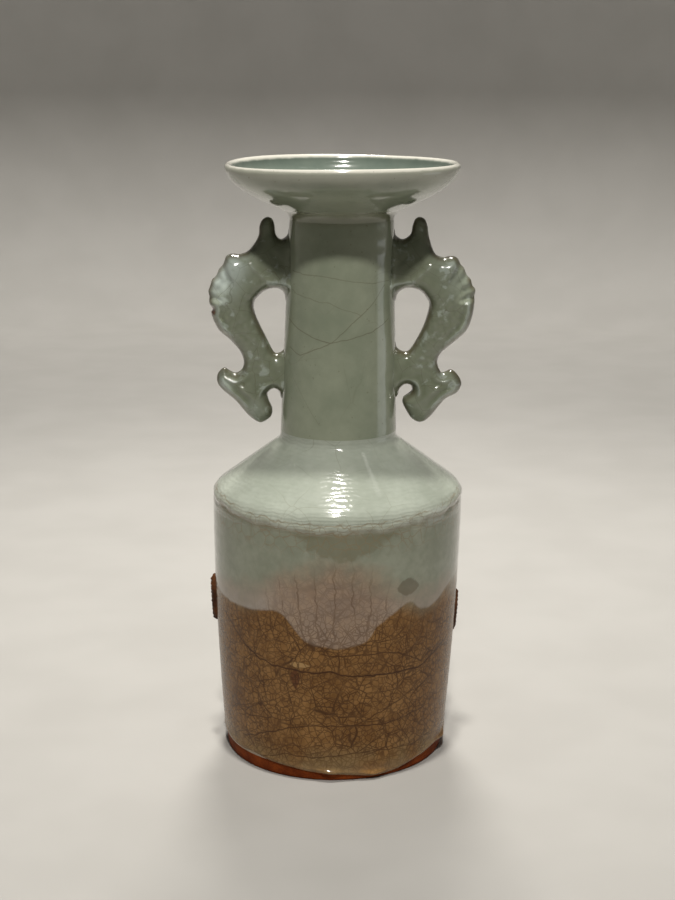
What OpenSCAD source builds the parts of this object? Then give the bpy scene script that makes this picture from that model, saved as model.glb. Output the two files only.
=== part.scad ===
// Mallet-shaped celadon vase with a wide dish mouth and a pair of dragon-fish
// handles. Base, wall, shoulder, neck and mouth are thrown members, luted one on
// the next; the foot ring is turned; the handles are press-moulded and luted to
// the neck; the glaze coats are thin skins over the clay. Millimetres, +Z up,
// origin at the centre of the foot on the surface that the vase stands on.

/* [Body] */
// Height from the ground to the crest of the lip
total_h = 262; // [256:1:268]
// Radius of the glazed wall, carried down to the ground
foot_r = 49.6; // [48:0.1:51]
// Largest radius of the glazed wall, just under the shoulder
belly_r = 55.2; // [54:0.1:56]
// How fast the wall swells above the foot: 1 is a straight cone
wall_swell = 1.7; // [1.2:0.1:2.4]
// Thickness of the clay wall
wall_t = 5.4; // [4.4:0.1:6.4]
// Thickness of each glaze coat
glaze_t = 0.8; // [0.5:0.1:1.2]

/* [Foot] */
// Height of the turned foot ring, and of the bare clay band
foot_h = 6; // [4:0.5:8]
// Width of the face that the foot ring stands on, with its chamfers
foot_face_w = 9; // [7:0.5:12]
// Chamfer turned on both edges of the foot ring
foot_chamfer = 1.2; // [0.5:0.1:2]
// Thickness of the base disc between the foot and the inside
base_t = 7; // [5:0.5:10]

/* [Shoulder] */
// Height at which the wall and the shoulder cone would meet in a sharp corner
corner_z = 120.5; // [118:0.5:122]
// Slope of the shoulder cone above the horizontal, in degrees
shoulder_slope = 36.4; // [34:0.2:38]
// Radius of the rounded shoulder edge
corner_round = 7; // [4:0.5:9]
// Radius of the hollow where the shoulder turns up into the neck
neck_hollow = 4; // [2:0.5:6]

/* [Neck] */
// Radius of the glazed neck where the shoulder cone meets it
neck_base_r = 25.7; // [25:0.1:26.4]
// Radius of the glazed neck under the mouth
neck_top_r = 22.4; // [22:0.1:23]
// Radius of the glazed bore through the neck
neck_bore_r = 17.6; // [16:0.1:18]

/* [Mouth] */
// Height of the mouth dish, from the top of the neck to the crest of the lip
mouth_h = 24; // [22:0.5:26]
// Largest radius of the mouth dish, on the outside of the lip
mouth_r = 50.2; // [48:0.1:52]
// Thickness of the glazed lip
lip_t = 3.2; // [2.8:0.1:4]

/* [Handles] */
// Greatest thickness of a handle from front to back
handle_t = 14.4; // [12:0.2:17]
// Drop from the top of the neck to the middle of the handles
handle_drop = 44; // [43:0.5:45]

/* [Kiln scars] */
// How far the burnt scar on the left of the wall stands proud
scar_left_proud = 1.8; // [1:0.1:2.4]
// How far the burnt scar on the right of the wall stands proud
scar_right_proud = 0.9; // [0.6:0.1:2]
// Height of the middle of the left scar
scar_left_z = 68; // [60:1:80]
// Height of the middle of the right scar
scar_right_z = 62; // [55:1:80]

/* [Hidden] */

$fn = 96;
wall_steps = 12;         // straight stretches along the swelling wall
round_steps = 8;         // straight stretches along a rounded edge
spline_steps = 4;        // straight stretches between two outline points

foot_clay = "#8a5a3c";
biscuit = "#c9b8a0";
celadon = "#8f9f8a";
celadon_pale = "#b9c6b4";
tea_brown = "#7c6248";
burnt_clay = "#7a3320";

floor_z = foot_h + base_t;                      // top of the base disc inside the pot
belly_z = corner_z - 8.5;                       // height at which the wall is widest
turn = 90 - shoulder_slope;                     // angle turned at the shoulder edge
neck_foot_z = corner_z + (belly_r - neck_base_r) * tan(shoulder_slope);
neck_seam_z = neck_foot_z + neck_hollow * tan(turn / 2) + 1.7;
neck_top_z = total_h - mouth_h;
handle_z = neck_top_z - handle_drop;            // height of the middle of the handles
hollow_depth = wall_t + 2 * glaze_t;            // from the outer to the inner glazed face
floor_round = 6;                                // fillets inside the pot, at the floor
ceiling_round = 4;                              // and at the shoulder and the neck bore

// The mouth's side view as curves of four control points. Each point is its
// distance from the axis, its share of the mouth's height, and the direction that
// the surface faces there: 0 is outwards, -90 down, 90 up, 180 towards the axis.
dish_root = [
    [neck_top_r, 0, 0], [neck_top_r + 0.4, 0.09, -15],
    [neck_top_r + 1.6, 0.165, -50], [neck_top_r + 4.2, 0.19, -65]
];
dish_under = [
    [neck_top_r + 4.2, 0.19, -65], [mouth_r - 12.2, 0.395, -65],
    [mouth_r - 2.7, 0.585, -40], [mouth_r, 0.9, 0]
];
lip_outside = [
    [mouth_r, 0.9, 0], [mouth_r + 0.1, 0.98, 30],
    [mouth_r - 0.5, 1, 75], [mouth_r - 1.2, 1, 90]
];
lip_inside = [
    [mouth_r - 1.2, 1, 90], [mouth_r - 2.2, 1, 95],
    [mouth_r - lip_t + 0.2, 0.97, 150], [mouth_r - lip_t, 0.9, 180]
];
dish_inside = [
    [mouth_r - lip_t, 0.9, 180], [mouth_r - lip_t - 1.8, 0.72, 150],
    [mouth_r - 14.2, 0.52, 115], [neck_bore_r + 9, 0.4, 110]
];
dish_throat = [
    [neck_bore_r + 9, 0.4, 110], [neck_bore_r + 4.4, 0.345, 115],
    [neck_bore_r, 0.22, 180], [neck_bore_r, 0, 180]
];

// A handle from the front: distance from the pot's axis, and height above or
// below the handle's middle. Horn, brow, crest, waist, tail fin, then the chin.
handle_outline = [
    [17, 35.5], [23, 36], [26.3, 35.2], [29, 37.3], [30, 42], [32.2, 44.6],
    [35.6, 41.8], [36.8, 36.5], [40, 30], [44.2, 27.9], [49.4, 28.6], [51.2, 24.4],
    [56.4, 16.6], [57.8, 13], [57, 4.5], [54.2, -4], [49.3, -8.6], [44.3, -13.5],
    [42.3, -17.7], [43.1, -21.5], [45.4, -23.2], [48.4, -22.1], [51.4, -22.4], [53.6, -26],
    [51.4, -31.4], [46, -35.4], [41, -41.5], [37.2, -44.6], [34.3, -45.3], [30.5, -43],
    [28.6, -38.6], [30.8, -34.6], [31.2, -31.4], [29.4, -29.4], [26.6, -30.4], [23, -31.6],
    [17, -31.6]
];

// The open loop between a handle and the neck, in the same measure
loop_outline = [
    [17, 12], [24.6, 12.6], [28.6, 14], [33.6, 13], [37.3, 8.8], [37.9, 5],
    [36.2, -1.4], [32.4, -8.8], [29.4, -13.2], [26.6, -14], [24, -12.4], [17, -12.4]
];

// A handle from the side: share of its greatest thickness, and height
handle_side = [
    [0.44, -46], [0.74, -38], [0.84, -30], [0.72, -22], [0.7, -16], [0.92, -2],
    [1, 12], [0.94, 24], [0.7, 33], [0.46, 39], [0.34, 46]
];

// A kiln scar is a row of burnt beads sunk in the wall
scar_bead_r = 6;
scar_beads = 4;
scar_pitch = 4.4;
scar_fn = 240;           // fine enough for a bead that stands under 2 mm proud

// Radius of the outside of the glazed wall at height z
function wall_r(z) =
    belly_r - (belly_r - foot_r) * pow(max(belly_z - z, 0) / belly_z, wall_swell);

// Radius of the outside of the glazed neck at height z
function neck_r(z) =
    neck_base_r - (neck_base_r - neck_top_r) * (z - neck_foot_z) / (neck_top_z - neck_foot_z);

// Points of an arc about a centre c, from angle a to angle b
function arc(c, r, a, b) =
    [for (i = [0:round_steps]) let (t = a + (b - a) * i / round_steps)
        c + r * [cos(t), sin(t)]];

// Points of a curve with four control points
function bow(p) =
    [for (i = [0:round_steps]) let (t = i / round_steps, s = 1 - t)
        s * s * s * p[0] + 3 * s * s * t * p[1] + 3 * s * t * t * p[2] + t * t * t * p[3]];

function reversed(points) = [for (i = [len(points) - 1:-1:0]) points[i]];

// A list without its first point
function rest_of(points) = [for (i = [1:len(points) - 1]) points[i]];

// One point of a smooth curve through four neighbours, between the middle two
function between(a, b, c, d, t) =
    0.5 * (2 * b + (c - a) * t + (2 * a - 5 * b + 4 * c - d) * t * t
        + (3 * b - a - 3 * c + d) * t * t * t);

// Smooth closed outline through the given points
function smooth_loop(p) = let (m = len(p))
    [for (i = [0:m - 1], k = [0:spline_steps - 1])
        between(p[(i + m - 1) % m], p[i], p[(i + 1) % m], p[(i + 2) % m], k / spline_steps)];

// Side of the wall between two heights, set in by the given depth
function wall_side(z0, z1, depth) =
    [for (i = [0:wall_steps]) let (z = z0 + (z1 - z0) * i / wall_steps) [wall_r(z) - depth, z]];

// Where the set-in wall would meet the set-in shoulder cone in a sharp corner
function corner(depth) =
    [belly_r - depth, corner_z - depth * (1 / cos(shoulder_slope) - tan(shoulder_slope))];

// Rounded edge, cone and hollow that lead from a wall up to a tube of radius tube_r
function shoulder_run(depth, edge_round, tube_r, tube_round) = let (
        c = corner(depth),
        edge_drop = edge_round * tan(turn / 2),
        tube_foot = c[1] + (c[0] - tube_r) * tan(shoulder_slope),
        tube_rise = tube_round * tan(turn / 2)
    )
    concat(
        [[belly_r - depth, belly_z]],
        arc(c - [edge_round, edge_drop], edge_round, 0, turn),
        arc([tube_r + tube_round, tube_foot + tube_rise], tube_round, 180 + turn, 180));

// Outside of the shoulder from the widest height up to the neck seam
function shoulder_side(depth) =
    concat(
        shoulder_run(depth, corner_round - depth, neck_base_r - depth, neck_hollow + depth),
        [[neck_r(neck_seam_z) - depth, neck_seam_z]]);

// Inside of the pot from the floor to the widest height; depth goes into the clay
function hollow_low(depth) = let (side = hollow_depth - depth, top = floor_z + glaze_t - depth)
    concat(
        arc([wall_r(top + floor_round) - side - floor_round, top + floor_round], floor_round, -90, 0),
        rest_of(wall_side(top + floor_round, belly_z, side)));

// Inside of the pot from the widest height up to the neck seam
function hollow_high(depth) =
    concat(
        shoulder_run(hollow_depth - depth, ceiling_round + depth, neck_bore_r + depth,
            ceiling_round - depth),
        [[neck_bore_r + depth, neck_seam_z]]);

// Control points of a mouth curve, set in by the given depth
function set_in(points, depth) =
    [for (p = points) [p[0], neck_top_z + mouth_h * p[1]] - depth * [cos(p[2]), sin(p[2])]];

// Outside of the mouth from the neck up to the crest of the lip
function mouth_outside(depth) =
    concat(
        bow(set_in(dish_root, depth)),
        rest_of(bow(set_in(dish_under, depth))),
        rest_of(bow(set_in(lip_outside, depth))));

// Inside of the mouth from the crest of the lip down to the neck bore
function mouth_inside(depth) =
    concat(
        bow(set_in(lip_inside, depth)),
        rest_of(bow(set_in(dish_inside, depth))),
        rest_of(bow(set_in(dish_throat, depth))));

// A body turned on the wheel from its half section
module turned(points) {
    rotate_extrude() polygon(points);
}

// A ring between two sides whose points run the same way
module skin(outer, inner) {
    turned(concat(outer, reversed(inner)));
}

// A straight tube between the neck seam and the mouth
module neck_tube(outer_low_r, outer_top_r, inner_low_r, inner_top_r) {
    turned([
        [inner_low_r, neck_seam_z], [outer_low_r, neck_seam_z],
        [outer_top_r, neck_top_z], [inner_top_r, neck_top_z]
    ]);
}

module foot_ring() {
    outer_r = foot_r - glaze_t;
    inner_r = outer_r - foot_face_w;
    color(foot_clay) turned([
        [inner_r + foot_chamfer, 0], [outer_r - foot_chamfer, 0], [outer_r, foot_chamfer],
        [wall_r(foot_h) - glaze_t, foot_h], [inner_r, foot_h], [inner_r, foot_chamfer]
    ]);
}

module base_disc() {
    color(biscuit) turned(concat(
        [[0, foot_h]], wall_side(foot_h, floor_z, glaze_t), [[0, floor_z]]));
}

module body_wall() {
    color(biscuit) skin(wall_side(floor_z, belly_z, glaze_t), hollow_low(glaze_t));
}

module shoulder() {
    color(biscuit) skin(shoulder_side(glaze_t), hollow_high(glaze_t));
}

module neck() {
    color(biscuit) neck_tube(
        neck_r(neck_seam_z) - glaze_t, neck_top_r - glaze_t,
        neck_bore_r + glaze_t, neck_bore_r + glaze_t);
}

module mouth_dish() {
    color(biscuit) turned(concat(mouth_outside(glaze_t), rest_of(mouth_inside(glaze_t))));
}

module glaze_base() {
    color(celadon_pale) translate([0, 0, foot_h - glaze_t])
        cylinder(r = foot_r - glaze_t - foot_face_w, h = glaze_t);
}

module glaze_body() {
    color(tea_brown) skin(wall_side(foot_h, belly_z, 0), wall_side(foot_h, belly_z, glaze_t));
}

module glaze_shoulder() {
    color(celadon_pale) skin(shoulder_side(0), shoulder_side(glaze_t));
}

module glaze_neck() {
    color(celadon) neck_tube(
        neck_r(neck_seam_z), neck_top_r, neck_r(neck_seam_z) - glaze_t, neck_top_r - glaze_t);
}

module glaze_mouth_outside() {
    color(celadon) skin(mouth_outside(0), mouth_outside(glaze_t));
}

module glaze_mouth_inside() {
    color(celadon_pale) skin(mouth_inside(0), mouth_inside(glaze_t));
}

module glaze_neck_bore() {
    color(celadon_pale) neck_tube(
        neck_bore_r + glaze_t, neck_bore_r + glaze_t, neck_bore_r, neck_bore_r);
}

module glaze_body_inside() {
    color(celadon_pale) turned(concat(
        [[0, floor_z]], hollow_low(glaze_t), rest_of(hollow_high(glaze_t)),
        reversed(concat([[0, floor_z + glaze_t]], hollow_low(0), rest_of(hollow_high(0))))));
}

// A handle on the +X side, cut to sit on the glazed neck
module handle() {
    difference() {
        translate([0, 0, handle_z]) intersection() {
            rotate([90, 0, 0]) linear_extrude(handle_t, center = true) difference() {
                polygon(smooth_loop(handle_outline));
                polygon(smooth_loop(loop_outline));
            }
            rotate([90, 0, 90]) linear_extrude(2 * mouth_r) polygon(concat(
                [for (p = handle_side) [p[0] * handle_t / 2, p[1]]],
                reversed([for (p = handle_side) [-p[0] * handle_t / 2, p[1]]])));
        }
        neck_tube(neck_r(neck_seam_z), neck_top_r, 0, 0);
    }
}

module handle_left() {
    color(celadon) mirror([1, 0, 0]) handle();
}

module handle_right() {
    color(celadon) handle();
}

// A scar on the +X side of the wall
module kiln_scar(mid_z, proud, $fn = scar_fn) {
    difference() {
        for (i = [0:scar_beads - 1]) {
            z = mid_z + (i - (scar_beads - 1) / 2) * scar_pitch;
            translate([wall_r(z) + proud - scar_bead_r, 0, z]) sphere(r = scar_bead_r);
        }
        turned(concat([[0, foot_h]], wall_side(foot_h, belly_z, 0), [[0, belly_z]]));
    }
}

module kiln_scar_left() {
    color(burnt_clay) mirror([1, 0, 0]) kiln_scar(scar_left_z, scar_left_proud);
}

module kiln_scar_right() {
    color(burnt_clay) kiln_scar(scar_right_z, scar_right_proud);
}

foot_ring();
base_disc();
body_wall();
shoulder();
neck();
mouth_dish();
handle_left();
handle_right();
glaze_base();
glaze_body();
glaze_shoulder();
glaze_neck();
glaze_mouth_outside();
glaze_mouth_inside();
glaze_neck_bore();
glaze_body_inside();
kiln_scar_left();
kiln_scar_right();
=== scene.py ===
"""A celadon mallet vase with a dish mouth and dragon-fish handles, dressed on its CAD frame.

The pot is thrown in members and glazed, so each member and each coat of glaze is its own
closed mesh. Shapes are worked out in millimetres and placed in metres. Angles run round the
pot from the front, positive towards the right handle.
"""

import logging
import math
from dataclasses import dataclass, field, replace
from enum import Enum
from typing import Callable, ClassVar, Sequence

import bmesh
import bpy
import numpy as np
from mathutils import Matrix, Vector
from mathutils.geometry import delaunay_2d_cdt


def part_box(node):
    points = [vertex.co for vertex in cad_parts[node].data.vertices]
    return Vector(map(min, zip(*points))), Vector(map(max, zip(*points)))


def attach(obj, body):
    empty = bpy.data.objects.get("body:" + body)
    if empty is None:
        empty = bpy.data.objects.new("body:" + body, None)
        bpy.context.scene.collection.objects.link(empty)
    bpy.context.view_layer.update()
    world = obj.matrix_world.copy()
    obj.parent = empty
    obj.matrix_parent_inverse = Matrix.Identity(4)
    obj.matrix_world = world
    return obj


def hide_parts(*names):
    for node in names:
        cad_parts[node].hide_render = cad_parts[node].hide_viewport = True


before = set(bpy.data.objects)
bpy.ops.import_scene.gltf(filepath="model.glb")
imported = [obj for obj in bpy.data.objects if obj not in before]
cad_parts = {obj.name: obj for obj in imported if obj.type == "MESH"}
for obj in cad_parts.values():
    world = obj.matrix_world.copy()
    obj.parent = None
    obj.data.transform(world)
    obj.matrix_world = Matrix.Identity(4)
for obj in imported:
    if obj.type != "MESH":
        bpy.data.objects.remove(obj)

LOG = logging.getLogger("vase")
MM = 0.001
BODY = "root"
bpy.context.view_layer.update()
# Below this many metres, or millimetres for outlines, two points count as one
SAME_POINT = 1e-7
ON_AXIS = 1e-6
ON_OUTLINE = 1e-4
FULL_TURN = 360
# Stretches along a bend
BEND_STEPS = 16
# Stretches that a smooth curve puts between two points of an outline
OUTLINE_STEPS = 8
# The middle of a cloud's range, 0 to 1
CLOUD_MIDDLE = 0.5
# Faces that meet at more than this many degrees keep a hard edge
HARD_EDGE = 50

Array = np.ndarray
Stops = Sequence[tuple[float, float]]
Colour = tuple[float, float, float]
Place = tuple[float, float]
Span = tuple[float, float]


class Slot(str, Enum):
    """The record's material slots."""

    FOOT = "foot_clay"
    BISCUIT = "biscuit_clay"
    CELADON = "celadon_glaze"
    PALE = "pale_celadon_glaze"
    BODY = "body_glaze"
    HANDLE = "handle_glaze"
    BURNT = "burnt_clay"


class Side(Enum):
    """The side of the pot that a handle or a scar is on."""

    LEFT = -1
    RIGHT = 1


class Mark(str, Enum):
    """What a handle's points tell its glaze."""

    RELIEF = "relief"
    EDGE = "edge"
    POOL = "pool"
    BURN = "burn"


# ---------------------------------------------------------------- curves and edges


def smooth_loop(points: Sequence[Sequence[float]], steps: int, closed: bool) -> Array:
    """Runs a smooth curve through points.

    Args:
        points: the points that the curve passes through.
        steps: stretches between two neighbours.
        closed: whether the curve comes back to its first point.

    Returns:
        The curve's points, one row each.
    """
    p = np.array(points, float)
    last = len(p) if closed else len(p) - 1
    pick = (lambda i: p[i % len(p)]) if closed else (lambda i: p[min(max(i, 0), len(p) - 1)])
    t = np.arange(steps)[:, None] / steps
    runs = []
    for i in range(last):
        a, b, c, d = pick(i - 1), pick(i), pick(i + 1), pick(i + 2)
        runs.append(0.5 * (2 * b + (c - a) * t + (2 * a - 5 * b + 4 * c - d) * t**2
                           + (3 * b - a - 3 * c + d) * t**3))
    if not closed:
        runs.append(p[-1:])
    return np.concatenate(runs)


def even_steps(points: Array, count: int) -> Array:
    """Spaces count points evenly along a run of points.

    Args:
        points: the run, one row each.
        count: how many points to give back.

    Returns:
        The evenly spaced points.
    """
    lengths = np.concatenate([[0], np.cumsum(np.hypot(*np.diff(points, axis=0).T))])
    at = np.linspace(0, lengths[-1], count)
    return np.stack([np.interp(at, lengths, points[:, k]) for k in (0, 1)], axis=1)


def bow(p: Array, steps: int = BEND_STEPS) -> Array:
    """Draws a curve from its four control points.

    Args:
        p: the control points, one row each.
        steps: stretches along the curve.

    Returns:
        The curve's points.
    """
    t = np.linspace(0, 1, steps + 1)[:, None]
    s = 1 - t
    return s**3 * p[0] + 3 * s**2 * t * p[1] + 3 * s * t**2 * p[2] + t**3 * p[3]


def arc(centre: Sequence[float], radius: float, start: float, end: float, steps: int = 20) -> Array:
    """Gives the points of an arc, with its angles in degrees."""
    a = np.radians(np.linspace(start, end, steps + 1))
    return np.array(centre) + radius * np.stack([np.cos(a), np.sin(a)], axis=1)


def bell(x: Array, middle: float, width: float) -> Array:
    """A rounded hump of height 1 at middle."""
    return np.exp(-(((x - middle) / width) ** 2))


def ease(x: Array, low: float, high: float) -> Array:
    """Rises smoothly from 0 at low to 1 at high."""
    t = np.clip((x - low) / (high - low), 0, 1)
    return t * t * (3 - 2 * t)


def quarter_round(x: Array) -> Array:
    """Rises like a quarter of a circle from 0 at 0 to 1 at 1."""
    return np.sqrt(1 - (1 - np.clip(x, 0, 1)) ** 2)


def around(stops: Stops, degrees: Array) -> Array:
    """Reads a height that changes smoothly round the pot.

    Args:
        stops: pairs of an angle in degrees and a height, in rising order of angle.
        degrees: the angles to read at.

    Returns:
        The height at each angle.
    """
    angles, heights = np.array(stops, float).T
    turns = (-FULL_TURN, 0, FULL_TURN)
    a = np.concatenate([angles + turn for turn in turns])
    h = np.tile(heights, len(turns))
    fine = smooth_loop(np.stack([a, h], axis=1), OUTLINE_STEPS, closed=False)
    half = FULL_TURN / 2
    return np.interp(np.mod(degrees + half, FULL_TURN) - half, fine[:, 0], fine[:, 1])


# ---------------------------------------------------------------- edges painted and modelled

# Height of the glaze's lower edge above the ground, round the foot
GLAZE_EDGE: Stops = (
    (-175, 4.6), (-150, 3.4), (-122, 5.4), (-92, 7.8), (-62, 6.9), (-47, 7.1), (-34, 5.8),
    (-12, 4.3), (8, 2.6), (26, 1.9), (38, 2.6), (50, 4.5), (64, 6.1), (85, 6.8), (112, 4.5),
    (140, 2.8), (162, 3.8),
)
# Angles of the thick beads where the glaze gathered above the foot
GLAZE_BEADS: tuple[float, ...] = (-146, -118, -2, 20, 72, 131, 158)
# Lower edge, in lobes, of the painted reflection: a pale pinkish veil painted over the brown glaze on the
# wall
REFLECTION_VEIL_EDGE: Stops = (
    (-172, 77), (-150, 79), (-134, 73), (-118, 65), (-103, 70), (-84, 78), (-66, 76), (-53, 75),
    (-40, 75.5), (-28, 77), (-22, 73), (-15, 65.5), (-5, 62.5), (8, 63), (15, 66), (18, 71),
    (28, 77), (35, 80), (41, 76), (52, 76.5), (62, 81), (82, 84), (104, 73), (122, 68),
    (140, 72), (158, 80),
)
# How strongly the painted reflection veil covers the glaze under it, round the pot
REFLECTION_VEIL_COVER: Stops = (
    (-165, 0.8), (-140, 0.6), (-118, 0.38), (-98, 0.6), (-80, 0.85), (-62, 0.85), (-40, 0.8),
    (-30, 0.55), (-22, 0.42), (-12, 0.38), (10, 0.36), (22, 0.45), (34, 0.7), (60, 0.85),
    (98, 0.8), (122, 0.4), (142, 0.4), (165, 0.8),
)
# Upper edge of the brown, densely crackled glaze
BROWN_EDGE: Stops = (
    (-170, 84), (-145, 88), (-118, 98), (-96, 89), (-80, 84), (-62, 84), (-38, 88), (-27, 95),
    (-14, 99), (0, 102), (11, 99), (21, 93), (32, 86), (60, 85), (90, 86), (118, 96), (148, 92),
)


@dataclass(frozen=True)
class Wave:
    """A smooth wave round the pot: its height, turns, start and how fast it shifts upwards."""

    height: float
    turns: float
    start: float = 0.0
    climb: float = 0.0

    def at(self, angle: Array, z: Array | float = 0.0) -> Array:
        """Gives the wave at angles in radians and at heights."""
        return self.height * np.sin(self.turns * angle + self.start + self.climb * z)


# How the thrown wall strays from a true round, and how the lip waves up and down
UNEVEN: tuple[Wave, ...] = (Wave(0.14, 2, 1.1, 1 / 90), Wave(0.09, 3, 2.3, -1 / 60))
THROWING_RINGS = Wave(0.025, 1, 0.0, 0.9)
LIP_WAVES: tuple[Wave, ...] = (Wave(0.3, 2, 0.6), Wave(0.16, 3, 2.0))
# How the glaze's lower edge and the crease under the shoulder wander
EDGE_WAVES: tuple[Wave, ...] = (Wave(0.2, 9, 1.0), Wave(0.14, 17, 2.0))
CREASE_WAVES: tuple[Wave, ...] = (Wave(0.5, 11, 0.7), Wave(0.35, 23, 2.1))
CREASE_BREAKS: tuple[Wave, Wave] = (Wave(0.5, 31, 0.4), Wave(1.0, 7))


@dataclass(frozen=True)
class Crack:
    """A long crack in the glaze, as a height that changes round the pot."""

    run: Stops
    width: float
    strength: float


# The heights or shares between which each of these edges stays
REFLECTION_VEIL_RANGE: Span = (50, 95)
COVER_RANGE: Span = (0, 1)
BROWN_RANGE: Span = (60, 110)
# How far above the widest height the crease runs at the front, and how much higher at the sides
CREASE_LIFT = 0.8
CREASE_DIP = 4.4
# Whole steps that keep the fans' rays above 0
FAN_START = 20

# The long cracks of the lower wall
WALL_CRACKS: tuple[Crack, ...] = (
    Crack(((-64, 69), (-54, 63), (-47, 58), (-38, 54), (-30, 52), (-12, 51.2), (0, 51.3),
           (9, 49.4), (28, 49), (42, 48.6), (52, 52), (66, 57)), 0.62, 0.95),
    Crack(((-5, 59.4), (3, 59), (16, 59.2), (29, 58.4), (44, 51.5)), 0.45, 0.85),
    Crack(((-52, 14), (-36, 19), (-24, 23.7), (-12, 26.3), (8, 26.6), (26, 25.8), (48, 29)), 0.45, 0.85),
    Crack(((16, 29), (22, 31.6), (35, 37), (48, 41), (60, 47)), 0.42, 0.8),
    Crack(((-70, 22), (-56, 27), (-42, 31.4), (-31, 35.3), (-20, 42)), 0.38, 0.7),
    Crack(((-40, 7), (-25, 11.4), (-10, 11), (13, 13.6), (44, 12.7), (58, 14.6)), 0.38, 0.8),
    Crack(((96, 44), (116, 51), (140, 49), (168, 55), (179, 60)), 0.4, 0.85),
    Crack(((-178, 30), (-150, 34), (-126, 28), (-104, 33)), 0.36, 0.75),
    Crack(((70, 24), (95, 19), (122, 24), (150, 21)), 0.32, 0.7),
)
# The few fine cracks of the neck
NECK_CRACKS: tuple[Crack, ...] = (
    Crack(((-60, 217), (-48, 216.6), (-6, 215.1), (38, 212.3), (60, 213)), 0.3, 0.42),
    Crack(((-60, 209), (-52, 207.5), (-11, 204.5), (21, 199.3)), 0.28, 0.36),
    Crack(((-66, 196), (-54, 194), (-30, 190), (-9, 187.6), (10, 195), (35, 204), (52, 211)), 0.34, 0.6),
    Crack(((-60, 184), (-44, 181.3), (-10, 187.6), (32, 191.7), (58, 196)), 0.34, 0.6),
    Crack(((-58, 174), (-42, 165.8), (-20, 152.5)), 0.26, 0.32),
    Crack(((100, 200), (130, 188), (160, 193), (179, 184)), 0.32, 0.5),
    Crack(((-170, 172), (-140, 178), (-112, 168)), 0.3, 0.45),
)


# ---------------------------------------------------------------- the thrown form


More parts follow.
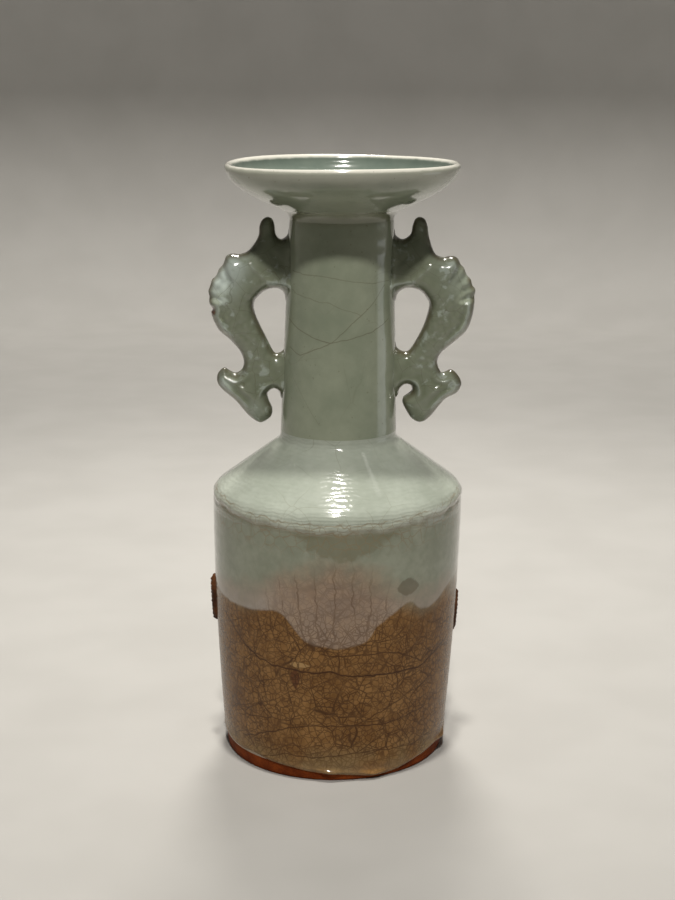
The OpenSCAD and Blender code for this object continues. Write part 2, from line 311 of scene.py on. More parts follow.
@dataclass(frozen=True)
class PotForm:
    """The sizes of the thrown pot in millimetres, and the sides that its members share."""

    belly_r: float
    belly_z: float
    foot_h: float
    foot_side_r: float
    foot_inner_r: float
    floor_z: float
    seam_z: float
    seam_r: float
    neck_top_z: float
    bore_r: float
    mouth_r: float
    total_h: float
    glaze_t: float
    wall_swell: float = 1.7
    neck_taper: float = 3.17
    corner_rise: float = 8.5
    corner_round: float = 7.0
    neck_hollow: float = 4.0
    slope: float = 36.4
    wall_t: float = 5.4
    lip_t: float = 3.2
    wall_rows: int = 40
    floor_fillet: float = 6.0
    ceiling_round: float = 4.0
    lip_rise: float = 4.0
    lean: float = 0.0143

    @classmethod
    def from_frame(cls) -> "PotForm":
        """Reads the sizes off the CAD nodes.

        Returns:
            The pot's form.
        """
        high = {name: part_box(name)[1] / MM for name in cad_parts}
        glaze_t = high["glaze_mouth_outside"].z - high["mouth_dish"].z
        return cls(
            belly_r=high["glaze_body"].x,
            belly_z=high["glaze_body"].z,
            foot_h=high["foot_ring"].z,
            foot_side_r=high["foot_ring"].x,
            foot_inner_r=high["glaze_base"].x,
            floor_z=high["base_disc"].z,
            seam_z=high["glaze_shoulder"].z,
            seam_r=high["glaze_neck"].x,
            neck_top_z=high["glaze_neck"].z,
            bore_r=high["glaze_neck_bore"].x - glaze_t,
            mouth_r=high["glaze_mouth_outside"].x,
            total_h=high["glaze_mouth_outside"].z,
            glaze_t=glaze_t,
        )

    @property
    def corner_z(self) -> float:
        """Height at which the wall and the shoulder cone would meet in a sharp corner."""
        return self.belly_z + self.corner_rise

    @property
    def neck_top_r(self) -> float:
        """Radius of the glazed neck under the mouth."""
        return self.seam_r - self.neck_taper

    @property
    def hollow_depth(self) -> float:
        """Thickness from the outer to the inner glazed face."""
        return self.wall_t + 2 * self.glaze_t

    def wall_radius(self, z: Array) -> Array:
        """Gives the outside of the glazed wall.

        Args:
            z: heights.

        Returns:
            The radius at each height.
        """
        def shrink(height: Array) -> Array:
            """Gives the share of the swelling that is still to come at a height."""
            return (np.clip(self.belly_z - height, 0, None) / self.belly_z) ** self.wall_swell

        foot_gap = self.belly_r - self.foot_side_r - self.glaze_t
        return self.belly_r - foot_gap / shrink(np.array(self.foot_h)) * shrink(np.asarray(z, float))

    def shoulder_run(self, depth: float, edge: float, tube_r: float, tube_round: float) -> Array:
        """Leads from a wall over the rounded edge and the cone up to a tube.

        Args:
            depth: how far the run is set in from the glazed outside.
            edge: radius of the rounded edge.
            tube_r: radius of the tube that the cone turns into.
            tube_round: radius of the hollow at the tube's foot.

        Returns:
            The run's points, from the widest height upwards.
        """
        slope = math.radians(self.slope)
        turn = 90 - self.slope
        rise = math.tan(math.radians(turn / 2))
        corner = np.array([self.belly_r - depth,
                           self.corner_z - depth * (1 / math.cos(slope) - math.tan(slope))])
        tube_foot = corner[1] + (corner[0] - tube_r) * math.tan(slope)
        return np.concatenate([
            [[self.belly_r - depth, self.belly_z]],
            arc(corner - [edge, edge * rise], edge, 0, turn),
            arc([tube_r + tube_round, tube_foot + tube_round * rise], tube_round, 180 + turn, 180),
        ])

    def shoulder_side(self, depth: float) -> Array:
        """Gives the outside of the shoulder up to the neck seam.

        Args:
            depth: how far it is set in from the glazed face.

        Returns:
            The points of that side.
        """
        tube_r = self.seam_r - depth
        run = self.shoulder_run(depth, self.corner_round - depth, tube_r, self.neck_hollow + depth)
        return np.concatenate([run, [[tube_r, self.seam_z]]])

    def neck_side(self, depth: float) -> Array:
        """Gives the outside of the neck from its seam to the mouth, set in by depth."""
        return np.array([[self.seam_r - depth, self.seam_z], [self.neck_top_r - depth, self.neck_top_z]])

    def bore_side(self, depth: float) -> Array:
        """Gives the neck's bore from its seam to the mouth, set in by depth."""
        return np.array([[self.bore_r + depth, self.seam_z], [self.bore_r + depth, self.neck_top_z]])

    def hollow_low(self, depth: float) -> Array:
        """Gives the inside from the floor to the widest height.

        Args:
            depth: how far it is set in from the glazed face.

        Returns:
            The points of that side.
        """
        fillet = self.floor_fillet
        side = self.hollow_depth - depth
        top = self.floor_z + self.glaze_t - depth
        z = np.linspace(top + fillet, self.belly_z, self.wall_rows)
        wall = np.stack([self.wall_radius(z) - side, z], axis=1)
        turn = arc([wall[0, 0] - fillet, top + fillet], fillet, -90, 0)
        return np.concatenate([turn[:-1], wall])

    def hollow_high(self, depth: float) -> Array:
        """Gives the inside from the widest height up to the neck seam.

        Args:
            depth: how far it is set in from the glazed face.

        Returns:
            The points of that side.
        """
        ceiling = self.ceiling_round
        run = self.shoulder_run(self.hollow_depth - depth, ceiling + depth,
                                self.bore_r + depth, ceiling - depth)
        return np.concatenate([run, [[self.bore_r + depth, self.seam_z]]])

    def mouth_run(self, points: Sequence[Sequence[float]], depth: float) -> Array:
        """Bends one curve of the mouth, set in by depth.

        Args:
            points: four control points: radius, share of the mouth's height, facing angle.
            depth: how far the curve is set in from the glazed face.

        Returns:
            The curve's points.
        """
        r, share, facing = np.array(points, float).T
        facing = np.radians(facing)
        z = self.neck_top_z + (self.total_h - self.neck_top_z) * share
        return bow(np.stack([r - depth * np.cos(facing), z - depth * np.sin(facing)], axis=1))

    def mouth_outside(self, depth: float) -> Array:
        """Gives the mouth from the neck out to the lip's crest.

        Args:
            depth: how far it is set in from the glazed face.

        Returns:
            The points of that side.
        """
        root, rim = self.neck_top_r, self.mouth_r
        return np.concatenate([
            self.mouth_run(((root, 0, 0), (root + 0.4, 0.09, -15),
                            (root + 1.6, 0.165, -50), (root + 4.2, 0.19, -65)), depth)[:-1],
            self.mouth_run(((root + 4.2, 0.19, -65), (rim - 12.2, 0.395, -65),
                            (rim - 2.7, 0.585, -40), (rim, 0.9, 0)), depth)[:-1],
            self.mouth_run(((rim, 0.9, 0), (rim + 0.1, 0.98, 30),
                            (rim - 0.5, 1, 75), (rim - 1.2, 1, 90)), depth),
        ])

    def mouth_inside(self, depth: float) -> Array:
        """Gives the mouth from the lip's crest down to the bore.

        Args:
            depth: how far it is set in from the glazed face.

        Returns:
            The points of that side.
        """
        rim, bore, lip = self.mouth_r, self.bore_r, self.mouth_r - self.lip_t
        return np.concatenate([
            self.mouth_run(((rim - 1.2, 1, 90), (rim - 2.2, 1, 95),
                            (lip + 0.2, 0.97, 150), (lip, 0.9, 180)), depth)[:-1],
            self.mouth_run(((lip, 0.9, 180), (lip - 1.8, 0.72, 150),
                            (rim - 14.2, 0.52, 115), (bore + 9, 0.4, 110)), depth)[:-1],
            self.mouth_run(((bore + 9, 0.4, 110), (bore + 4.4, 0.345, 115),
                            (bore, 0.22, 180), (bore, 0, 180)), depth),
        ])

    def place(self, r: Array, z: Array, angle: Array) -> Array:
        """Puts points of the true round form where the thrown, slightly leaning pot has them.

        Args:
            r: distances from the axis.
            z: heights.
            angle: angles round the pot in radians, 0 at the front.

        Returns:
            The points in metres, with x, y and z along the last axis.
        """
        uneven = sum(wave.at(angle, z) for wave in UNEVEN) + THROWING_RINGS.at(angle, z)
        out = r + uneven * np.clip(r / self.bore_r, 0, 1)
        lip = ease(z, self.neck_top_z + self.lip_rise, self.total_h)
        wave = lip * sum(wave.at(angle) for wave in LIP_WAVES)
        x = out * np.sin(angle) + self.lean * (z - self.belly_z)
        return np.stack([x, -out * np.cos(angle), z + wave], axis=-1) * MM


# ---------------------------------------------------------------- meshes


def finished(name: str, points: Array, faces: list[tuple[int, ...]]) -> bpy.types.Object:
    """Makes a smooth-shaded object whose hard corners stay hard.

    Args:
        name: the piece's name.
        points: its points in metres.
        faces: its faces, as tuples of point numbers.

    Returns:
        The object, linked to the scene.
    """
    mesh = bpy.data.meshes.new(name)
    mesh.from_pydata(points.reshape(-1, 3).tolist(), [], faces)
    mesh.validate()
    mesh.update()
    mesh.polygons.foreach_set("use_smooth", [True] * len(mesh.polygons))
    mesh.set_sharp_from_angle(angle=math.radians(HARD_EDGE))
    piece = bpy.data.objects.new(name, mesh)
    bpy.context.scene.collection.objects.link(piece)
    return piece


def turned_rings(name: str, form: PotForm, r: Array, z: Array) -> bpy.types.Object:
    """Makes a closed body from rings of points round the pot.

    Args:
        name: the piece's name.
        form: the pot that places the points.
        r: distance from the axis, a row for each ring and a column for each angle.
        z: heights, in the same grid.

    Returns:
        The object. Rings run round the body's half section, and the last joins the first,
        unless both lie on the axis.
    """
    rows, columns = r.shape
    angle = np.broadcast_to(np.arange(columns) * (math.tau / columns), r.shape)
    points = form.place(r, z, angle)
    on_axis = bool(r[0].max() < ON_AXIS)
    faces = []
    for i in range(rows - 1 if on_axis else rows):
        a, b = i * columns, (i + 1) % rows * columns
        for j in range(columns):
            k = (j + 1) % columns
            faces.append((a + j, a + k, b + k, b + j))
    piece = finished(name, points, faces)
    if on_axis:
        weld_poles(piece.data)
    return piece


def weld_poles(mesh: bpy.types.Mesh) -> None:
    """Draws each ring that lies on the axis together into one point.

    Args:
        mesh: the mesh to mend.
    """
    bm = bmesh.new()
    bm.from_mesh(mesh)
    bmesh.ops.remove_doubles(bm, verts=bm.verts, dist=SAME_POINT)
    bm.to_mesh(mesh)
    bm.free()


def skin(name: str, form: PotForm, outer: Array, inner: Array, step: float,
         columns: int) -> bpy.types.Object:
    """Makes a ring-shaped skin between two sides.

    Args:
        name: the piece's name.
        form: the pot that places the points.
        outer: the outer side's points, upwards or outwards.
        inner: the inner side's points, running the same way.
        step: spacing of the rings, in millimetres.
        columns: points round the pot.

    Returns:
        The closed skin.
    """
    length = np.hypot(*np.diff(outer, axis=0).T).sum()
    count = max(int(length / step), 2) + 1
    section = np.concatenate([even_steps(outer, count), even_steps(inner, count)[::-1]])
    r, z = (np.repeat(section[:, k:k + 1], columns, axis=1) for k in (0, 1))
    return turned_rings(name, form, r, z)


def solid(name: str, form: PotForm, section: Sequence[Sequence[float]], columns: int) -> bpy.types.Object:
    """Turns a half section that starts and ends on the axis, or closes on itself.

    Args:
        name: the piece's name.
        form: the pot that places the points.
        section: the section's points, each a radius and a height.
        columns: points round the pot.

    Returns:
        The closed body.
    """
    points = np.array(section, float)
    r, z = (np.repeat(points[:, k:k + 1], columns, axis=1) for k in (0, 1))
    return turned_rings(name, form, r, z)


def inside(outline: Array, points: Array) -> Array:
    """Finds which points lie inside a closed outline.

    Args:
        outline: the outline, one row for each point.
        points: the points to try.

    Returns:
        True for each point that is inside.
    """
    a, b = outline, np.roll(outline, -1, axis=0)
    x, y = points[:, 0:1], points[:, 1:2]
    crosses = (a[:, 1] > y) != (b[:, 1] > y)
    rise = np.where(b[:, 1] == a[:, 1], 1e-12, b[:, 1] - a[:, 1])
    at = a[:, 0] + (y - a[:, 1]) / rise * (b[:, 0] - a[:, 0])
    return (crosses & (x < at)).sum(axis=1) % 2 == 1


def edge_distance(outline: Array, points: Array, counted: Array) -> tuple[Array, Array]:
    """Measures how far points are from an outline.

    Args:
        outline: the closed outline.
        points: the points to measure from.
        counted: which of the outline's stretches count.

    Returns:
        The distance of each point, and the number of the nearest stretch.
    """
    a, b = outline[counted], np.roll(outline, -1, axis=0)[counted]
    along = b - a
    reach = ((points[:, None] - a) * along).sum(-1) / np.maximum((along**2).sum(-1), 1e-12)
    foot = a + np.clip(reach, 0, 1)[..., None] * along
    gap = np.hypot(*(points[:, None] - foot).transpose(2, 0, 1))
    nearest = gap.argmin(axis=1)
    return gap[np.arange(len(points)), nearest], np.flatnonzero(counted)[nearest]


# Rows of points inside an outline, and how clear of it others stay, in spacings
EDGE_LAYERS = (0.12, 0.4, 0.85)
LAYER_CLEAR = 0.93
EDGE_CLEAR = 1.25


def filled(outline: Array, spacing: float) -> tuple[Array, list[tuple[int, int, int]]]:
    """Fills an outline with small triangles, finest along its edge.

    Args:
        outline: the closed outline.
        spacing: distance between neighbouring points in the middle.

    Returns:
        The points, the outline's own first, and the triangles.
    """
    low, high = outline.min(0), outline.max(0)
    rows = np.arange(low[1], high[1], spacing * math.sqrt(3) / 2)
    lattice = np.concatenate([
        [[u, w] for u in np.arange(low[0] + (i % 2) * spacing / 2, high[0], spacing)]
        for i, w in enumerate(rows)])
    everywhere = np.ones(len(outline), bool)
    lattice = lattice[inside(outline, lattice)]
    lattice = lattice[edge_distance(outline, lattice, everywhere)[0] > spacing * EDGE_CLEAR]
    tangent = np.roll(outline, -1, axis=0) - np.roll(outline, 1, axis=0)
    normal = np.stack([-tangent[:, 1], tangent[:, 0]], axis=1) / np.hypot(*tangent.T)[:, None]
    if not inside(outline, outline[:1] + normal[:1] * spacing * EDGE_LAYERS[0])[0]:
        normal = -normal
    layers = [outline]
    for share in EDGE_LAYERS:
        layer = outline + normal * spacing * share
        kept = inside(outline, layer)
        kept &= edge_distance(outline, layer, everywhere)[0] > spacing * share * LAYER_CLEAR
        layers.append(layer[kept])
    points = np.concatenate([*layers, lattice])
    edges = [(i, (i + 1) % len(outline)) for i in range(len(outline))]
    made = delaunay_2d_cdt([Vector(p) for p in points], edges, [], 0, ON_OUTLINE / 10)
    flat = np.array([v[:] for v in made[0]])
    triangles = np.array(made[2])
    middles = flat[triangles].mean(axis=1)
    triangles = triangles[inside(outline, middles)]
    return flat, [tuple(int(i) for i in t) for t in triangles]


@dataclass
class Relief:
    """A moulded piece with a front and a back, made from its outline and its thickness."""

    outline: Array
    spacing: float
    open_below: float

    def build(self, name: str, front: Callable[[Array, Array, Array], Array],
              back: Callable[[Array, Array, Array], Array],
              put: Callable[[Array, Array], Array]) -> tuple[bpy.types.Object, Array, Array, Array]:
        """Fills the outline, raises both faces and joins them round the edge.

        Args:
            name: the piece's name.
            front: height of the front face for points, edge distances and nearest stretches.
            back: the same for the back face, positive away from the middle.
            put: turns flat points and their heights into points in metres.

        Returns:
            The object, its flat points, their distance from the edge, and which of the
            mesh's points belong to the front.
        """
        flat, triangles = filled(self.outline, self.spacing)
        ahead = np.roll(self.outline, -1, axis=0)
        counted = (self.outline[:, 0] > self.open_below) | (ahead[:, 0] > self.open_below)
        distance, nearest = edge_distance(self.outline, flat, counted)
        shared = distance < ON_OUTLINE
        back_number = np.where(shared, np.arange(len(flat)), len(flat) + np.cumsum(~shared) - 1)
        points = np.concatenate([
            put(flat, front(flat, distance, nearest)),
            put(flat[~shared], -back(flat, distance, nearest)[~shared]),
        ])
        faces: list[tuple[int, ...]] = []
        rim: dict[tuple[int, int], int] = {}
        for a, b, c in triangles:
            faces.append((a, b, c))
            faces.append((back_number[c], back_number[b], back_number[a]))
            for edge in ((a, b), (b, c), (c, a)):
                rim[edge] = rim.get(edge, 0) + 1
        for a, b in rim:
            if (b, a) in rim or (shared[a] and shared[b]):
                continue
            ring = [b, a, int(back_number[a]), int(back_number[b])]
            faces.append(tuple(dict.fromkeys(ring)))
        piece = finished(name, points, [tuple(int(i) for i in f) for f in faces])
        return piece, flat, distance, back_number


# ---------------------------------------------------------------- shader maths


class Wire:
    """A value, vector or colour on its way through a finish's nodes."""

    def __init__(self, bench: "Bench", socket: bpy.types.NodeSocket) -> None:
        """Keeps the bench that makes nodes and the socket that gives the value."""
        self.bench = bench
        self.socket = socket

    def _join(self, operation: str, first: "Feed", second: "Feed") -> "Wire":
        """Joins two feeds with the node that suits what they carry.

        Args:
            operation: ADD, SUBTRACT, MULTIPLY or DIVIDE.
            first: the left-hand feed.
            second: the right-hand feed.

        Returns:
            The result's wire.
        """
        kinds = {f.socket.type for f in (first, second) if isinstance(f, Wire)}
        if "RGBA" in kinds:
            return self.bench.node("ShaderNodeMix", {"data_type": "RGBA", "blend_type": operation},
                                   {"Factor_Float": 1.0, "A_Color": first, "B_Color": second},
                                   "Result_Color")
        if "VECTOR" in kinds:
            scalar = next((f for f in (first, second) if self._is_number(f)), None)
            if operation == "MULTIPLY" and scalar is not None:
                vector = second if scalar is first else first
                return self.bench.node("ShaderNodeVectorMath", {"operation": "SCALE"},
                                       {0: vector, "Scale": scalar}, "Vector")
            return self.bench.node("ShaderNodeVectorMath", {"operation": operation},
                                   {0: first, 1: second}, "Vector")
        return self.bench.node("ShaderNodeMath", {"operation": operation}, {0: first, 1: second}, "Value")

    @staticmethod
    def _is_number(feed: "Feed") -> bool:
        """Tells whether a feed is one number, not a vector or a colour."""
        return isinstance(feed, (int, float)) or isinstance(feed, Wire) and feed.socket.type == "VALUE"

    def __add__(self, other: "Feed") -> "Wire":
        """Adds."""
        return self._join("ADD", self, other)

    def __radd__(self, other: "Feed") -> "Wire":
        """Adds, from the right."""
        return self._join("ADD", other, self)

    def __sub__(self, other: "Feed") -> "Wire":
        """Subtracts."""
        return self._join("SUBTRACT", self, other)

    def __rsub__(self, other: "Feed") -> "Wire":
        """Subtracts from other."""
        return self._join("SUBTRACT", other, self)

    def __mul__(self, other: "Feed") -> "Wire":
        """Multiplies."""
        return self._join("MULTIPLY", self, other)

    def __rmul__(self, other: "Feed") -> "Wire":
        """Multiplies, from the right."""
        return self._join("MULTIPLY", other, self)

    def __truediv__(self, other: "Feed") -> "Wire":
        """Divides."""
        return self._join("DIVIDE", self, other)

    def __rtruediv__(self, other: "Feed") -> "Wire":
        """Divides other."""
        return self._join("DIVIDE", other, self)

    def math(self, operation: str, *others: "Feed") -> "Wire":
        """Puts the value through any other Math operation.

        Args:
            operation: the operation's name.
            others: the operation's further values.

        Returns:
            The result's wire.
        """
        inputs: dict[int | str, Feed] = {0: self}
        inputs.update({i + 1: other for i, other in enumerate(others)})
        return self.bench.node("ShaderNodeMath", {"operation": operation}, inputs, "Value")

    def ease(self, low: float, high: float) -> "Wire":
        """Rises smoothly from 0 at low to 1 at high, or falls where low is the larger."""
        return self.bench.node("ShaderNodeMapRange", {"interpolation_type": "SMOOTHSTEP"},
                               {"Value": self, "From Min": low, "From Max": high}, "Result")

    def blend(self, low: "Feed", high: "Feed") -> "Wire":
        """Mixes two colours, with this value as the share of high."""
        return self.bench.node("ShaderNodeMix", {"data_type": "RGBA", "blend_type": "MIX"},
                               {"Factor_Float": self, "A_Color": low, "B_Color": high}, "Result_Color")


Feed = float | int | tuple | Wire


@dataclass(frozen=True)
class Cloud:
    """Soft patches: how wide they are in millimetres, how broken up, and which set of them."""

    size: float
    detail: float
    seed: float


@dataclass(frozen=True)
class Web:
    """A network of cracks: its mesh, half width and strength, and how its lines waver."""

    size: float
    width: float
    strength: float
    bend: float
    reach: float
    seed: float


class Bench:
    """The node tree of one finish, with the few tools that its recipes use."""

    crack_core = 0.25

    def __init__(self, name: str) -> None:
        """Starts an empty material with a shader and an output.

        Args:
            name: the material's name.
        """
        self.material = bpy.data.materials.new(name)
        self.material.use_nodes = True
        self.tree = self.material.node_tree
        self.tree.nodes.clear()
        self.shader = self.tree.nodes.new("ShaderNodeBsdfPrincipled")
        output = self.tree.nodes.new("ShaderNodeOutputMaterial")
        self.tree.links.new(self.shader.outputs["BSDF"], output.inputs["Surface"])

    def node(self, kind: str, settings: dict, inputs: dict, out: str) -> Wire:
        """Adds one node.

        Args:
            kind: the node's type.
            settings: its own settings, set first; "stops" gives a ramp's positions and colours.
            inputs: values or wires for its sockets, by number, identifier or name.
            out: the name or identifier of the output to use.

        Returns:
            The output's wire.
        """
        made = self.tree.nodes.new(kind)
        for key, value in settings.items():
            if key == "stops":
                self._set_stops(made.color_ramp, value)
            elif key == "spread":
                made.color_ramp.interpolation = value
            else:
                setattr(made, key, value)
        for key, value in inputs.items():
            self._feed(self._find(made.inputs, key), value)
        return Wire(self, self._find(made.outputs, out))

    @staticmethod
    def _set_stops(ramp: bpy.types.ColorRamp, stops: Sequence[tuple[float, float]]) -> None:
        """Sets a ramp's stops.

        Args:
            ramp: the ramp.
            stops: pairs of a position and a grey value.
        """
        while len(ramp.elements) < len(stops):
            ramp.elements.new(1.0)
        for element, (position, value) in zip(ramp.elements, stops):
            element.position = position
            element.color = (value, value, value, 1.0)

    @staticmethod
    def _find(sockets: bpy.types.bpy_prop_collection, key: int | str) -> bpy.types.NodeSocket:
        """Finds a socket.

        Args:
            sockets: the node's inputs or outputs.
            key: the socket's number, identifier or name.

        Returns:
            The socket.
        """
        if isinstance(key, int):
            return sockets[key]
        for socket in sockets:
            if socket.identifier == key:
                return socket
        return next(s for s in sockets if s.name == key and s.enabled)

    def _feed(self, socket: bpy.types.NodeSocket, value: Feed) -> None:
        """Links a wire to a socket, or sets the socket's own value.

        Args:
            socket: the socket to feed.
            value: the wire or the value.
        """
        if isinstance(value, Wire):
            self.tree.links.new(value.socket, socket)
        elif isinstance(value, tuple) and socket.type == "RGBA":
            socket.default_value = (*value[:3], 1.0)
        else:
            socket.default_value = value

    def shade(self, **inputs: Feed) -> bpy.types.Material:
        """Feeds the shader's sockets.

        Args:
            inputs: what each socket gets, its name written with underscores for spaces.

        Returns:
            The finished material.
        """
        for key, value in inputs.items():
            self._feed(self.shader.inputs[key.replace("_", " ")], value)
        return self.material

    def place(self) -> Wire:
        """Gives the point on the pot, in millimetres."""
        return self.node("ShaderNodeTexCoord", {}, {}, "Object") * (1 / MM)

    def split(self, vector: Wire) -> tuple[Wire, Wire, Wire]:
        """Splits a vector.

        Args:
            vector: the vector's wire.

        Returns:
            Its x, y and z.
        """
        x = self.node("ShaderNodeSeparateXYZ", {}, {"Vector": vector}, "X")
        outputs = x.socket.node.outputs
        return x, Wire(self, outputs["Y"]), Wire(self, outputs["Z"])

    def painted(self, mark: Mark) -> Wire:
        """Reads one of the marks that a mesh carries for its glaze."""
        return self.node("ShaderNodeAttribute", {"attribute_name": mark.value}, {}, "Fac")

    def noise(self, place: Wire, cloud: Cloud, out: str) -> Wire:
        """Makes a cloud's noise, as one value or as three."""
        return self.node("ShaderNodeTexNoise", {"noise_dimensions": "4D"},
                         {"Vector": place, "W": cloud.seed, "Scale": 1 / cloud.size,
                          "Detail": cloud.detail}, out)

    def cloud(self, place: Wire, cloud: Cloud) -> Wire:
        """Gives soft patches, from 0 to 1."""
        return self.noise(place, cloud, "Fac")

    def shifted(self, place: Wire, size: float, reach: float, seed: float) -> Wire:
        """Moves a place about, so that straight lines waver.

        Args:
            place: where on the pot, in millimetres.
            size: how long the bends are.
            reach: the furthest push.
            seed: which set of bends.

        Returns:
            The place after the push.
        """
        push = self.noise(place, Cloud(size, 1.0, seed), "Color")
        vector = self.node("ShaderNodeVectorMath", {"operation": "SUBTRACT"},
                           {0: push, 1: (CLOUD_MIDDLE,) * 3}, "Vector")
        return place + vector * (2 * reach)

    def web(self, place: Wire, web: Web) -> Wire:
        """Gives a network of cracks.

        Args:
            place: where on the pot, in millimetres.
            web: the network.

        Returns:
            Its strength along the cracks, and 0 between them.
        """
        bent = self.shifted(place, web.bend, web.reach, web.seed)
        gap = self.node("ShaderNodeTexVoronoi", {"feature": "DISTANCE_TO_EDGE"},
                        {"Vector": bent, "Scale": 1 / web.size}, "Distance")
        width = web.width / web.size
        return gap.ease(width, self.crack_core * width) * web.strength

    def bump(self, height: Wire, depth: float) -> Wire:
        """Turns a height from 0 to 1 into a surface that rises by depth millimetres."""
        return self.node("ShaderNodeBump", {}, {"Strength": 1.0, "Distance": depth * MM, "Height": height},
                         "Normal")


@dataclass(frozen=True)
class Round:
    """Where a point is round the pot: its place, height, angle in degrees and radius."""

    place: Wire
    z: Wire
    degrees: Wire
    radius: Wire
    margin: ClassVar[float] = 5.0
    fade: ClassVar[float] = 3.0
    core: ClassVar[float] = 0.3

    @classmethod
    def on(cls, bench: Bench, form: PotForm) -> "Round":
        """Works out where a point is, with the pot's lean taken away.

        Args:
            bench: the finish's bench.
            form: the pot.

        Returns:
            The point's whereabouts.
        """
        place = bench.place()
        leaning_x, y, z = bench.split(place)
        x = leaning_x - (z - form.belly_z) * form.lean
        degrees = x.math("ARCTAN2", y * -1.0) * math.degrees(1)
        radius = (x * x + y * y).math("SQRT")
        return cls(place, z, degrees, radius)

    @property
    def bench(self) -> Bench:
        """The bench that the point's wires belong to."""
        return self.place.bench

    def cloud(self, cloud: Cloud) -> Wire:
        """Gives soft patches, from 0 to 1."""
        return self.bench.cloud(self.place, cloud)

    def ragged(self, cloud: Cloud, reach: float) -> Wire:
        """Gives a wavering about 0, over a range of reach."""
        return (self.cloud(cloud) - CLOUD_MIDDLE) * reach

    def web(self, web: Web) -> Wire:
        """Gives a network of cracks, and 0 between them."""
        return self.bench.web(self.place, web)

    def above(self, base: float, span: Span) -> Wire:
        """Rises from 0 to 1 between two heights that are counted from base."""
        return self.z.ease(base + span[0], base + span[1])

    def _level(self, stops: Stops, spread: str) -> Wire:
        """Reads a grey ramp that runs once round the pot.

        Args:
            stops: pairs of a share of the turn and a grey value.
            spread: how the ramp fills in between its stops.

        Returns:
            The grey value at the point's angle.
        """
        turn = self.degrees * (1 / FULL_TURN) + 0.5
        ramp = self.bench.node(
            "ShaderNodeValToRGB", {"stops": stops, "spread": spread}, {"Fac": turn}, "Color")
        return self.bench.node("ShaderNodeSeparateColor", {}, {"Color": ramp}, "Red")

    def height_of(self, stops: Stops, low: float, high: float) -> Wire:
        """Reads a height that changes round the pot.

        Args:
            stops: pairs of an angle in degrees and a height, in rising order of angle.
            low: a height below all of them.
            high: a height above all of them.

        Returns:
            The height at the point's angle.
        """
        angles, heights = np.array(stops, float).T
        half = FULL_TURN / 2
        ends = around(stops, np.array([-half, half]))
        inner = list(zip((angles + half) / FULL_TURN, (heights - low) / (high - low)))
        run = [(0.0, (ends[0] - low) / (high - low)), *inner, (1.0, (ends[1] - low) / (high - low))]
        return self._level(run, "CARDINAL") * (high - low) + low

    def crack(self, crack: Crack, waver: Wire) -> Wire:
        """Draws one long crack.

        Args:
            crack: its run, width and strength.
            waver: how far it strays up or down, in millimetres.

        Returns:
            Its strength along the crack, and 0 away from it.
        """
        first, last = crack.run[0][0], crack.run[-1][0]
        heights = [h for _, h in crack.run]
        low, high = min(heights) - self.margin, max(heights) + self.margin
        run = [((a + FULL_TURN / 2) / FULL_TURN, (h - low) / (high - low)) for a, h in crack.run]
        level = self._level(run, "LINEAR") * (high - low) + low
        gap = (self.z + waver - level).math("ABSOLUTE")
        ends = self.degrees.ease(first - self.fade, first) * self.degrees.ease(last + self.fade, last)
        return gap.ease(crack.width, crack.width * self.core) * ends * crack.strength


# ---------------------------------------------------------------- finishes


@dataclass(frozen=True)
class Surface:
    """How glossy a glaze is: its own roughness and its coat's share, and how far each varies."""

    roughness: float
    roughness_spread: float
    coat: float
    coat_spread: float
    coat_roughness: float
    ripple: Cloud
    ripple_depth: float


